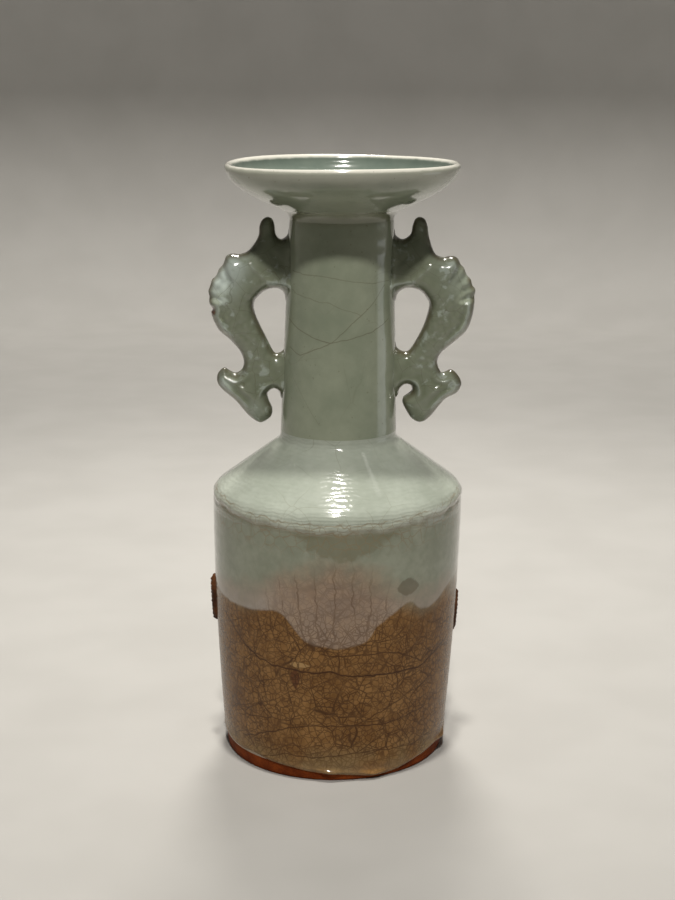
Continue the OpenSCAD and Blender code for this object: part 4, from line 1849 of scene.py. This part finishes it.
@dataclass
class GlazeCoats:
    """The coats of glaze over the thrown members."""

    form: PotForm
    columns: int = 320
    step: float = 1.0
    bury: float = 0.05
    shoulder_share: float = 0.8
    welt: Place = (1.8, 1.2)
    welt_height: float = 0.30
    groove_width: float = 0.8
    groove_depth: float = 0.34
    crease_reach: Span = (4, 1)
    bead_width: float = 5.5
    bead_drop: float = 0.7
    edge_least: float = 1.3
    low_rows: int = 12
    low_height: float = 4.0
    low_crowding: float = 1.6
    low_gap: float = 0.8
    roll: float = 1.7
    swell: float = 0.25
    bead_swell: float = 1.15
    swell_middle: Place = (1.5, 1.1)
    swell_start: float = 0.5

    def build(self) -> None:
        """Lays each coat and gives it its finish."""
        form, glaze = self.form, self.form.glaze_t + self.bury
        neck, plain, pale = (finish.make(form) for finish in (NECK_GLAZE, DISH_GLAZE, INSIDE_GLAZE))
        dress(self._wall(), WALL_GLAZE.make(form), Slot.BODY, "glaze_body")
        dress(self._shoulder(glaze), SHOULDER_GLAZE.make(form), Slot.PALE, "glaze_shoulder")
        coats = (
            ("glaze_neck", form.neck_side(0), form.neck_side(glaze), neck, Slot.CELADON),
            ("glaze_mouth_outside", form.mouth_outside(0), form.mouth_outside(glaze), plain, Slot.CELADON),
            ("glaze_mouth_inside", form.mouth_inside(glaze), form.mouth_inside(0), pale, Slot.PALE),
            ("glaze_neck_bore", form.bore_side(glaze), form.bore_side(0), pale, Slot.PALE),
        )
        for name, outer, inner, material, slot in coats:
            dress(skin(name, form, outer, inner, self.step, self.columns), material, slot, name)
        lining = solid("glaze_body_inside", form, self._lining(glaze), self.columns // 2)
        dress(lining, pale, Slot.PALE, "glaze_body_inside")
        low, high = form.foot_h - form.glaze_t, form.foot_h
        inner_r = form.foot_inner_r
        disc = [[0, low], [inner_r / 2, low], [inner_r, low], [inner_r, high], [0, high]]
        dress(solid("glaze_base", form, disc, self.columns // 2), pale, Slot.PALE, "glaze_base")

    def _lining(self, glaze: float) -> Array:
        """Gives the half section of the coat inside the body.

        Args:
            glaze: how far the coat reaches back, in millimetres.

        Returns:
            The section's points.
        """
        form = self.form
        clay = np.concatenate([form.hollow_low(glaze), form.hollow_high(glaze)[1:]])
        face = np.concatenate([form.hollow_low(0), form.hollow_high(0)[1:]])
        return np.concatenate([[[0, clay[0, 1]]], clay, face[::-1], [[0, face[0, 1]]]])

    def _relief(self, z: Array, angle: Array) -> Array:
        """Gives how far the crease under the shoulder lifts or sinks the glaze.

        Args:
            z: heights.
            angle: angles round the pot, in radians.

        Returns:
            The change of radius, in millimetres.
        """
        level = self.form.belly_z + CREASE_LIFT + CREASE_DIP * np.sin(angle) ** 2
        level = level + sum(wave.at(angle) for wave in CREASE_WAVES)
        rough = 1 + CREASE_BREAKS[0].at(angle) * CREASE_BREAKS[1].at(angle)
        rise, width = self.welt
        welt = self.welt_height * bell(z, level + rise, width)
        return (welt - self.groove_depth * bell(z, level, self.groove_width)) * rough

    def _wall(self) -> bpy.types.Object:
        """Lays the wall's coat down to its uneven, beaded lower edge.

        Returns:
            The coat.
        """
        form = self.form
        angle = np.arange(self.columns) * (math.tau / self.columns)
        degrees = np.degrees(angle)
        half = FULL_TURN / 2
        away = [(degrees - bead + half) % FULL_TURN - half for bead in GLAZE_BEADS]
        beads = sum(bell(a, 0, self.bead_width) for a in away)
        edge = around(GLAZE_EDGE, degrees) + sum(wave.at(angle) for wave in EDGE_WAVES)
        edge = np.maximum(edge - self.bead_drop * beads, self.edge_least)
        low_rows = np.linspace(0, 1, self.low_rows) ** self.low_crowding * self.low_height
        rise = np.arange(self.low_height + self.low_gap, form.belly_z - 1, self.step)
        rise = np.concatenate([low_rows, rise])
        share = rise / (form.belly_z - edge.min())
        share = np.append(share / share[-1] * (1 - self.step / form.belly_z), 1.0)
        z = edge + (form.belly_z - edge) * share[:, None]
        above = z - edge
        swell = (self.swell + self.bead_swell * beads) * bell(above, *self.swell_middle)
        thickness = form.glaze_t * quarter_round(above / self.roll)
        thickness = thickness + swell * np.clip(above / self.swell_start, 0, 1)
        clay = form.wall_radius(z) - form.glaze_t
        outer = clay + thickness + self._relief(z, angle)
        inner = clay - self.bury
        return turned_rings("glaze_body", form, np.concatenate([outer, inner[::-1]]),
                            np.concatenate([z, z[::-1]]))

    def _shoulder(self, glaze: float) -> bpy.types.Object:
        """Lays the shoulder's coat, with the crease that crosses its edge.

        Args:
            glaze: how far the coat reaches back, in millimetres.

        Returns:
            The coat.
        """
        form = self.form
        outer, inner = form.shoulder_side(0), form.shoulder_side(glaze)
        count = int(np.hypot(*np.diff(outer, axis=0).T).sum() / (self.step * self.shoulder_share))
        section = np.concatenate([even_steps(outer, count), even_steps(inner, count)[::-1]])
        angle = np.arange(self.columns) * (math.tau / self.columns)
        r, z = (np.repeat(section[:, k:k + 1], self.columns, axis=1) for k in (0, 1))
        low, high = self.crease_reach
        lift = self._relief(z, angle) * ease(r, form.belly_r - low, form.belly_r - high)
        lift[count:] = 0
        return turned_rings("glaze_shoulder", form, r + lift, z)


@dataclass(frozen=True)
class Stroke:
    """A carved ridge: part of a ring about a point, or of a straight line with a slope."""

    centre: Place
    height: float
    width: float
    radius: float = 0.0
    slope: float | None = None
    across: tuple[Span, ...] = ()
    upward: tuple[Span, ...] = ()

    def at(self, u: Array, w: Array) -> Array:
        """Gives the ridge's height, which fades over its spans.

        Args:
            u: distances from the pot's axis.
            w: heights above the handle's middle.

        Returns:
            The height at each point, in millimetres.
        """
        du, dw = u - self.centre[0], w - self.centre[1]
        gap = np.hypot(du, dw) - self.radius if self.slope is None else dw - self.slope * du
        ridge = self.height * bell(gap, 0, self.width)
        for values, spans in ((u, self.across), (w, self.upward)):
            for span in spans:
                ridge = ridge * ease(values, *span)
        return ridge


# The handle's rib over the loop, cheek, brow and three gills
STROKES: tuple[Stroke, ...] = (
    Stroke((28, 2), 0.7, 1.0, radius=15.5, across=((34, 30),), upward=((4, 10),)),
    Stroke((40, -31), 0.4, 1.3, slope=0.8, across=((33, 37), (47, 42))),
    Stroke((30, 17), 0.5, 1.2, slope=0.9, across=((27, 31), (42, 38))),
    *(Stroke((34, -34), 0.26, 0.7, radius=reach, across=((30, 34),), upward=((-26, -20), (-8, -14)))
      for reach in (12.5, 15.5, 18.5)),
)
# Half the handle's thickness at heights above its middle, as a share of its thickest
HANDLE_SHARES: Stops = (
    (-46, 0.50), (-38, 0.78), (-30, 0.86), (-22, 0.74), (-16, 0.70), (-2, 0.90), (12, 1.0), (24, 0.94),
    (33, 0.72), (39, 0.52), (46, 0.42),
)
# Where the pale glaze pooled on the handle: place, reach and strength
POOLS: tuple[tuple[Place, float, float], ...] = (
    ((52.0, 18.0), 7.5, 1.0), ((45.0, 25.0), 5.5, 0.7), ((51.0, -27.5), 3.6, 0.75),
    ((37.0, -39.0), 4.0, 0.3),
)


@dataclass
class DragonFishHandle:
    """A press-moulded handle: a tail that curls up to a horn, a finned back and a head below."""

    form: PotForm
    side: Side
    material: bpy.types.Material
    outer: Sequence[Place]
    loop: Sequence[Place]
    spacing: float = 0.62
    edge_share: float = 0.8
    root_u: float = 20.5
    root_margin: float = 0.5
    root_flare: float = 2.4
    root_fall: float = 1.7
    edge_round: float = 5.2
    edge_glow: Span = (2.6, 0.2)
    fin_centre: Place = (41.0, 8.0)
    fin_pitch: float = 17.0
    fin_depth: float = 0.22
    fin_scallop: float = 0.3
    fin_thinning: float = 0.42
    fin_reach: Span = (8, 14)
    fin_first: Span = (0, 12)
    fin_last: Span = (66, 54)
    worn: float = 0.45
    tail_across: Span = (46, 52)
    tail_upward: Span = (-14, -20)
    tail_thinning: float = 0.3
    scale_pitch: float = 3.3
    scale_row: float = 0.8
    scale_slant: float = 0.35
    scale_size: float = 0.52
    scale_drop: float = 0.4
    scale_dome: float = 0.26
    scale_lip: float = 0.16
    lump_height: float = 0.16
    settle: Span = (0.3, 2.4)
    right_pools: float = 0.2
    chip: Place = (56.0, 4.8)
    chip_reach: float = 2.2
    relief_middle: float = 0.5
    relief_gain: float = 0.8
    node: str = field(init=False)
    middle_z: float = field(init=False)
    half_t: float = field(init=False)

    def __post_init__(self) -> None:
        """Reads the handle's middle height and thickness off its CAD node."""
        self.node = f"handle_{self.side.name.lower()}"
        low, high = (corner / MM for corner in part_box(self.node))
        self.middle_z = (low.z + high.z) / 2
        self.half_t = (high.y - low.y) / 2

    def build(self) -> None:
        """Moulds the handle, marks its relief for the glaze and dresses it."""
        left = self.side is Side.LEFT
        relief = Relief(self._outline(), self.spacing, self.root_u + self.root_margin)
        piece, flat, distance, back = relief.build(self.node, self._face, self._face, self._put)
        pools = sum(depth * bell(np.hypot(*(flat - spot).T), 0, reach) for spot, reach, depth in POOLS)
        marks = {
            Mark.RELIEF: np.clip(
                self.relief_middle + self._carving(flat, distance) * self.relief_gain, 0, 1),
            Mark.EDGE: ease(distance, *self.edge_glow),
            Mark.POOL: pools * (1.0 if left else self.right_pools),
            Mark.BURN: left * bell(np.hypot(*(flat - self.chip).T), 0, self.chip_reach),
        }
        for mark, values in marks.items():
            store = piece.data.attributes.new(mark.value, "FLOAT", "POINT")
            both = np.zeros(len(piece.data.vertices), np.float32)
            both[:len(flat)] = values
            both[back] = values
            store.data.foreach_set("value", both)
        dress(piece, self.material, Slot.HANDLE, self.node)

    def _fin(self, u: Array, w: Array) -> tuple[Array, Array]:
        """Measures points about the fin's root.

        Args:
            u: distances from the pot's axis.
            w: heights above the handle's middle.

        Returns:
            Each point's angle in degrees, and its share in the fin.
        """
        du, dw = u - self.fin_centre[0], w - self.fin_centre[1]
        angle = np.degrees(np.arctan2(dw, du))
        share = ease(np.hypot(du, dw), *self.fin_reach) * ease(angle, *self.fin_first)
        return angle, share * ease(angle, *self.fin_last)

    def _rays(self, angle: Array) -> Array:
        """Gives the fin's rays at angles in degrees, from -1 to 1."""
        return np.cos(np.radians(angle * FULL_TURN / self.fin_pitch))

    def _outline(self) -> Array:
        """Draws the handle's edge, scalloped along the fin.

        Returns:
            The closed outline, evenly spaced.
        """
        outer, loop = (smooth_loop(run, OUTLINE_STEPS, closed=False) for run in (self.outer, self.loop))
        angle, share = self._fin(outer[:, 0], outer[:, 1])
        away = outer - np.array(self.fin_centre)
        away = away / np.hypot(*away.T)[:, None]
        outer = outer + away * (share * self._rays(angle) * self.fin_scallop)[:, None]
        whole = np.concatenate([outer, loop, outer[:1]])
        length = np.hypot(*np.diff(whole, axis=0).T).sum()
        return even_steps(whole, int(length / (self.spacing * self.edge_share)))[:-1]

    def _thickness(self, u: Array, w: Array) -> Array:
        """Gives half the thickness of the handle away from its edges.

        Args:
            u: distances from the pot's axis.
            w: heights above the handle's middle.

        Returns:
            Half the thickness, in millimetres.
        """
        half = np.interp(w, *np.array(HANDLE_SHARES).T) * self.half_t
        half = half * (1 - self.fin_thinning * self._fin(u, w)[1])
        tail = ease(u, *self.tail_across) * ease(w, *self.tail_upward)
        half = half * (1 - self.tail_thinning * tail)
        root = np.exp(-np.clip(u - self.form.neck_top_r, 0, None) / self.root_fall)
        return half + self.root_flare * root

    def _carving(self, flat: Array, distance: Array) -> Array:
        """Gives the carved relief: fin rays, scales, a bevelled edge, ribs and gills.

        Args:
            flat: points on the handle's face.
            distance: how far each is from the edge.

        Returns:
            Heights above the plain face, in millimetres.
        """
        u, w = flat.T
        angle, fin = self._fin(u, w)
        depth = self.fin_depth * (self.worn if self.side is Side.LEFT else 1.0)
        rays = depth * fin * self._rays(angle) * ease(distance, 0.0, 1.0) * ease(distance, 9.0, 3.5)
        # The bevel follows the outer edge of the flank and the chin
        flank = ease(u - (44 + 0.35 * (w + 16)), -3, 1) * ease(w, 12, 4) * ease(w, -17, -12)
        bevel = np.maximum(flank, ease(w, -22, -27) * ease(u + w, -2, 6))
        ridge = bevel * (0.8 * bell(distance, 3.0, 0.8) - 0.5 * bell(distance, 4.9, 1.1))
        strokes = sum(stroke.at(u, w) for stroke in STROKES)
        lumps = np.sin(u * 0.9 + 1.3 * np.sin(w * 0.35)) * np.sin(w * 0.75 + 0.6 * np.cos(u * 0.5))
        carved = self._scales(u, w) + ridge + strokes + lumps * self.lump_height
        return rays + carved * ease(distance, *self.settle)

    def _scales(self, u: Array, w: Array) -> Array:
        """Gives rows of overlapping scales down the fish's flank.

        Args:
            u: distances from the pot's axis.
            w: heights above the handle's middle.

        Returns:
            Their height, in millimetres.
        """
        pitch, slant = self.scale_pitch, self.scale_slant
        high = pitch * self.scale_row
        row = np.round((w + slant * u) / high)
        shift = np.where(row % 2 == 0, 0.0, 0.5)
        column = np.round((u - slant * w) / pitch - shift)
        du = (u - slant * w) - (column + shift) * pitch
        dw = (w + slant * u) - row * high
        dome = np.clip(1 - (du**2 + (dw - self.scale_drop) ** 2) / (self.scale_size * pitch) ** 2, 0, 1)
        lip = np.clip(-dw / pitch, 0, 0.5)
        flank = ease(w, -24, -17) * ease(w, 16, 8) * ease(u, 29, 33)
        return (self.scale_dome * dome + self.scale_lip * lip) * flank

    def _face(self, flat: Array, distance: Array, nearest: Array) -> Array:
        """Raises a face, rounded over towards its edge.

        Args:
            flat: points on the face.
            distance: how far each is from the edge.
            nearest: the nearest stretch of the edge, not used here.

        Returns:
            Heights above the handle's middle plane, in millimetres.
        """
        half = self._thickness(*flat.T)
        profile = quarter_round(distance / np.minimum(half, self.edge_round))
        return half * profile + self._carving(flat, distance)

    def _put(self, flat: Array, height: Array) -> Array:
        """Stands the flat handle up beside the leaning neck.

        Args:
            flat: points on the face.
            height: their heights above the middle plane.

        Returns:
            The points in metres.
        """
        z = self.middle_z + flat[:, 1]
        x = self.side.value * flat[:, 0] + self.form.lean * (z - self.form.belly_z)
        return np.stack([x, -self.side.value * height, z], axis=1) * MM


# Outlines of the handles: distance from the pot's axis, and height above their middle
RIGHT_OUTER = (
    (20.5, 43), (22.7, 40), (23.5, 37.2), (26.5, 35.6), (29.6, 37.6), (30.5, 41.4), (31.6, 44.2),
    (33.6, 45.1), (35.8, 44.0), (37.0, 41.0), (37.8, 36.4), (40.2, 29.8), (43.8, 27.8),
    (47.6, 28.3), (50.2, 27.4), (52.2, 24.2), (57.0, 16.4),
    (58.2, 12.8), (57.8, 4), (55.4, -3.6), (50.8, -8.4), (45, -13.3), (42.8, -17.3), (43.7, -21.2),
    (45.3, -22.8), (49, -21.5), (52.2, -24.2), (53.6, -28), (51.6, -31.8), (46.5, -34.8),
    (41.8, -40.6), (38.4, -44.1), (35.1, -44.9), (31.6, -42.8), (28.2, -37.2), (28, -34),
    (30.1, -32.3), (31.8, -30.6), (31.2, -28.4), (28.7, -28), (26.6, -30), (25.4, -33.5), (20.5, -38),
)
LEFT_OUTER = (
    (20.5, 43), (22.7, 40), (23.3, 37.4), (26, 35.6), (28.2, 37.6), (28.8, 41.6), (29.8, 44.2),
    (31.9, 45.1), (34.0, 44.0), (35.3, 41.2), (35.9, 36.5), (39.6, 31), (43.6, 29.2),
    (47.4, 29.3), (49.6, 28.2), (50.9, 25.2), (55.9, 17.2), (57, 14.6), (56.9, 8.0),
    (55.5, 5.6), (56.0, 3.2), (53, -3.6), (47.9, -8.2), (43.8, -13), (42, -17.3), (42.6, -21),
    (45.4, -22.9), (48.2, -21.8), (50.6, -20.6), (53.3, -23.2), (53.5, -27), (51.2, -30.4),
    (45.5, -35.3), (40.2, -41.5), (36.2, -44.6), (33.4, -44.9), (29.8, -42.4), (29.3, -38.8),
    (30.9, -34.8), (31.3, -31.9), (28.9, -29.9), (26.4, -31.2), (25.2, -34.5), (20.5, -38),
)
RIGHT_LOOP = (
    (20.5, -6), (23.9, -8.6), (25, -11.6), (27.2, -13.2), (29.8, -13.2), (32.4, -9.8), (36, -2.6),
    (38.2, 4.6), (38.1, 8.8), (34.2, 13.4), (28.8, 14.4), (25, 12.4), (23.6, 8.6), (20.5, 5),
)
LEFT_LOOP = (
    (20.5, -6), (23.8, -9), (24.7, -12.6), (27, -14.2), (29, -13.2), (32.1, -7.2), (36.2, 1.2),
    (37.6, 6.2), (36.5, 9.8), (32.3, 13.5), (27.4, 14.3), (24.6, 12.4), (23.5, 8), (20.5, 5),
)


# Lumps of a kiln scar, with their turns for each millimetre
LUMP_ACROSS = Wave(0.14, 2.1, 1.0)
LUMP_UP = Wave(1.0, 1.7)
LUMP_FINE = Wave(0.1, 3.1)


@dataclass
class KilnScar:
    """A lump of burnt clay left on the wall by the firing."""

    form: PotForm
    side: Side
    material: bpy.types.Material
    spacing: float = 0.5
    outline_points: int = 90
    squareness: float = 0.8
    rag: float = 0.08
    fine_rag: float = 0.06
    edge_round: float = 2.4
    sunk: float = 0.5
    sunk_round: float = 0.6
    lift: float = -0.02

    def build(self) -> None:
        """Builds the lump over the place of its CAD node and dresses it."""
        name = f"kiln_scar_{self.side.name.lower()}"
        low, high = (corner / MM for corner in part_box(name))
        half_w, half_h = (high.y - low.y) / 2, (high.z - low.z) / 2
        middle = (low.z + high.z) / 2
        edge_x = high.x if self.side is Side.RIGHT else -low.x
        proud = edge_x - float(self.form.wall_radius(np.array(middle)))
        turn = np.linspace(0, math.tau, self.outline_points, endpoint=False)
        ragged = 1 + Wave(self.rag, 3, 1.0).at(turn) + Wave(self.fine_rag, 7, self.side.value).at(turn)
        up = np.sign(np.sin(turn)) * np.abs(np.sin(turn)) ** self.squareness
        outline = np.stack([half_w * np.cos(turn) * ragged, half_h * up], axis=1)

        def front(flat: Array, distance: Array, nearest: Array) -> Array:
            """Raises the lump's outside, lumpy across and up."""
            u, w = flat.T
            grain = LUMP_ACROSS.at(u) * LUMP_UP.at(w) + LUMP_FINE.at(w)
            return (proud + grain * proud) * quarter_round(distance / self.edge_round)

        def back(flat: Array, distance: Array, nearest: Array) -> Array:
            """Sinks the lump's inside a little into the glaze."""
            return self.sunk * np.clip(distance / self.sunk_round, 0, 1)

        def put(flat: Array, height: Array) -> Array:
            """Wraps the lump round the wall."""
            z = middle + flat[:, 1]
            r = self.form.wall_radius(z) + height + self.lift
            angle = self.side.value * (math.pi / 2 - flat[:, 0] / self.form.belly_r)
            return self.form.place(r, z, angle)

        relief = Relief(outline, self.spacing, -math.inf)
        piece, _, _, _ = relief.build(name, front, back, put)
        dress(piece, self.material, Slot.BURNT, name)


# ---------------------------------------------------------------- stage, lights, camera


@dataclass(frozen=True)
class Lamp:
    """A small soft lamp, given by the way that it lies from the pot."""

    name: str
    towards: tuple[float, float, float]
    distance: float
    power: float
    radius: float
    beam: float
    colour: Colour = (1.0, 0.965, 0.905)

    def hang(self, aim: Vector) -> None:
        """Hangs the lamp, facing aim.

        Args:
            aim: the point that the lamp faces, in metres.
        """
        light = bpy.data.lights.new(self.name, "SPOT")
        light.energy = self.power
        light.shadow_soft_size = self.radius
        light.spot_size = math.radians(self.beam)
        light.spot_blend = 1.0
        light.color = self.colour
        lamp = bpy.data.objects.new(self.name, light)
        way = Vector(self.towards).normalized()
        lamp.location = aim + way * self.distance
        lamp.rotation_euler = way.to_track_quat("Z", "Y").to_euler()
        bpy.context.scene.collection.objects.link(lamp)


@dataclass(frozen=True)
class Card:
    """An upright glowing card that stands beside the pot and shows in its gloss."""

    place: tuple[float, float, float] = (0.60, 0.055, 0.092)
    width: float = 0.27
    height: float = 0.165
    power: float = 0.105
    colour: Colour = (0.93, 0.97, 1.0)

    def stand(self) -> None:
        """Stands the card up, with its face to the pot."""
        light = bpy.data.lights.new("card", "AREA")
        light.shape = "RECTANGLE"
        light.size = self.width
        light.size_y = self.height
        light.energy = self.power
        light.color = self.colour
        card = bpy.data.objects.new("card", light)
        card.location = self.place
        card.rotation_euler = (math.pi / 2, 0.0, math.pi / 2)
        bpy.context.scene.collection.objects.link(card)


@dataclass
class Studio:
    """A plain pale floor that rises into a wall all round, soft lamps and the camera."""

    floor_rings: tuple[float, ...] = (0.0, 0.3, 0.7)
    floor_columns: int = 96
    floor_dark: Colour = (0.385, 0.375, 0.355)
    floor_light: Colour = (0.41, 0.40, 0.38)
    floor_clouds: Cloud = Cloud(60, 2, 1.0)
    floor_span: Span = (0.3, 0.7)
    floor_roughness: float = 0.75
    floor_spread: float = 0.1
    fill_colour: Colour = (0.95, 0.97, 1.0)
    fill_strength: float = 0.06
    floor_reach: float = 1.15
    wall_height: float = 1.2
    cove: float = 0.25
    aim: tuple[float, float, float] = (0.0, 0.0, 0.13)
    eye: tuple[float, float, float] = (0.0, -0.7362, 0.3131)
    pitch: float = 13.54
    lens: float = 68.36
    sensor: float = 36.0
    nearest: float = 0.01
    lamps: tuple[Lamp, ...] = (
        Lamp("front", (0.0, -0.607, 0.794), 5.0, 600.0, 0.17, 14.0),
        Lamp("top", (0.0, -0.102, 0.995), 6.0, 900.0, 0.17, 14.0),
        Lamp("top_right", (0.345, 0.163, 0.924), 5.0, 1.5, 0.14, 14.0),
    )
    wash: Lamp = Lamp("backdrop", (0.0, 0.10, 1.0), 1.9, 150.0, 0.25, 120.0)
    wash_inset: float = 0.1
    card: Card = Card()

    def build(self) -> None:
        """Sets the stage."""
        bpy.context.scene.view_settings.view_transform = "Standard"
        self._floor()
        self._world()
        for lamp in self.lamps:
            lamp.hang(Vector(self.aim))
        self.wash.hang(Vector((0.0, self.floor_reach - self.wash_inset, 0.0)))
        self.card.stand()
        self._camera()

    def _floor(self) -> None:
        """Lays the floor with its rising cove."""
        bend = arc([self.floor_reach, self.cove], self.cove, -90, 0, BEND_STEPS)
        section = np.concatenate([
            [[r, 0] for r in self.floor_rings], bend, [[self.floor_reach + self.cove, self.wall_height]]])
        columns = self.floor_columns
        angle = np.arange(columns) * (math.tau / columns)
        r, z = section[:, 0:1], section[:, 1:2] + 0 * angle
        points = np.stack([r * np.sin(angle), -r * np.cos(angle), z], axis=-1)
        faces = [(i * columns + j, i * columns + (j + 1) % columns,
                  (i + 1) * columns + (j + 1) % columns, (i + 1) * columns + j)
                 for i in range(len(section) - 1) for j in range(columns)]
        floor = finished("studio_floor", points, faces)
        weld_poles(floor.data)
        bench = Bench("floor_paint")
        soft = bench.cloud(bench.place(), self.floor_clouds)
        floor.data.materials.append(bench.shade(
            Base_Color=soft.ease(*self.floor_span).blend(self.floor_dark, self.floor_light),
            Roughness=soft * self.floor_spread + self.floor_roughness,
        ))

    def _world(self) -> None:
        """Fills the shadows with a little soft light."""
        world = bpy.data.worlds.new("studio")
        world.use_nodes = True
        background = world.node_tree.nodes["Background"]
        background.inputs["Color"].default_value = (*self.fill_colour, 1.0)
        background.inputs["Strength"].default_value = self.fill_strength
        bpy.context.scene.world = world

    def _camera(self) -> None:
        """Sets the camera a little above the mouth, looking down."""
        camera = bpy.data.cameras.new("camera")
        camera.lens = self.lens
        camera.sensor_width = self.sensor
        camera.clip_start = self.nearest
        stand = bpy.data.objects.new("camera", camera)
        stand.location = self.eye
        stand.rotation_euler = (math.pi / 2 - math.radians(self.pitch), 0.0, 0.0)
        bpy.context.scene.collection.objects.link(stand)
        bpy.context.scene.camera = stand


def main() -> None:
    """Builds the studio and then the vase, member by member."""
    logging.basicConfig(level=logging.INFO, format="%(name)s: %(message)s")
    Studio().build()
    form = PotForm.from_frame()
    ClayPot(form).build()
    GlazeCoats(form).build()
    carved = CarvedCeladon("handle_glaze").make()
    DragonFishHandle(form, Side.LEFT, carved, LEFT_OUTER, LEFT_LOOP).build()
    DragonFishHandle(form, Side.RIGHT, carved, RIGHT_OUTER, RIGHT_LOOP).build()
    burnt = BURNT_CLAY.make()
    KilnScar(form, Side.LEFT, burnt).build()
    KilnScar(form, Side.RIGHT, burnt).build()


if __name__ == "__main__":
    main()
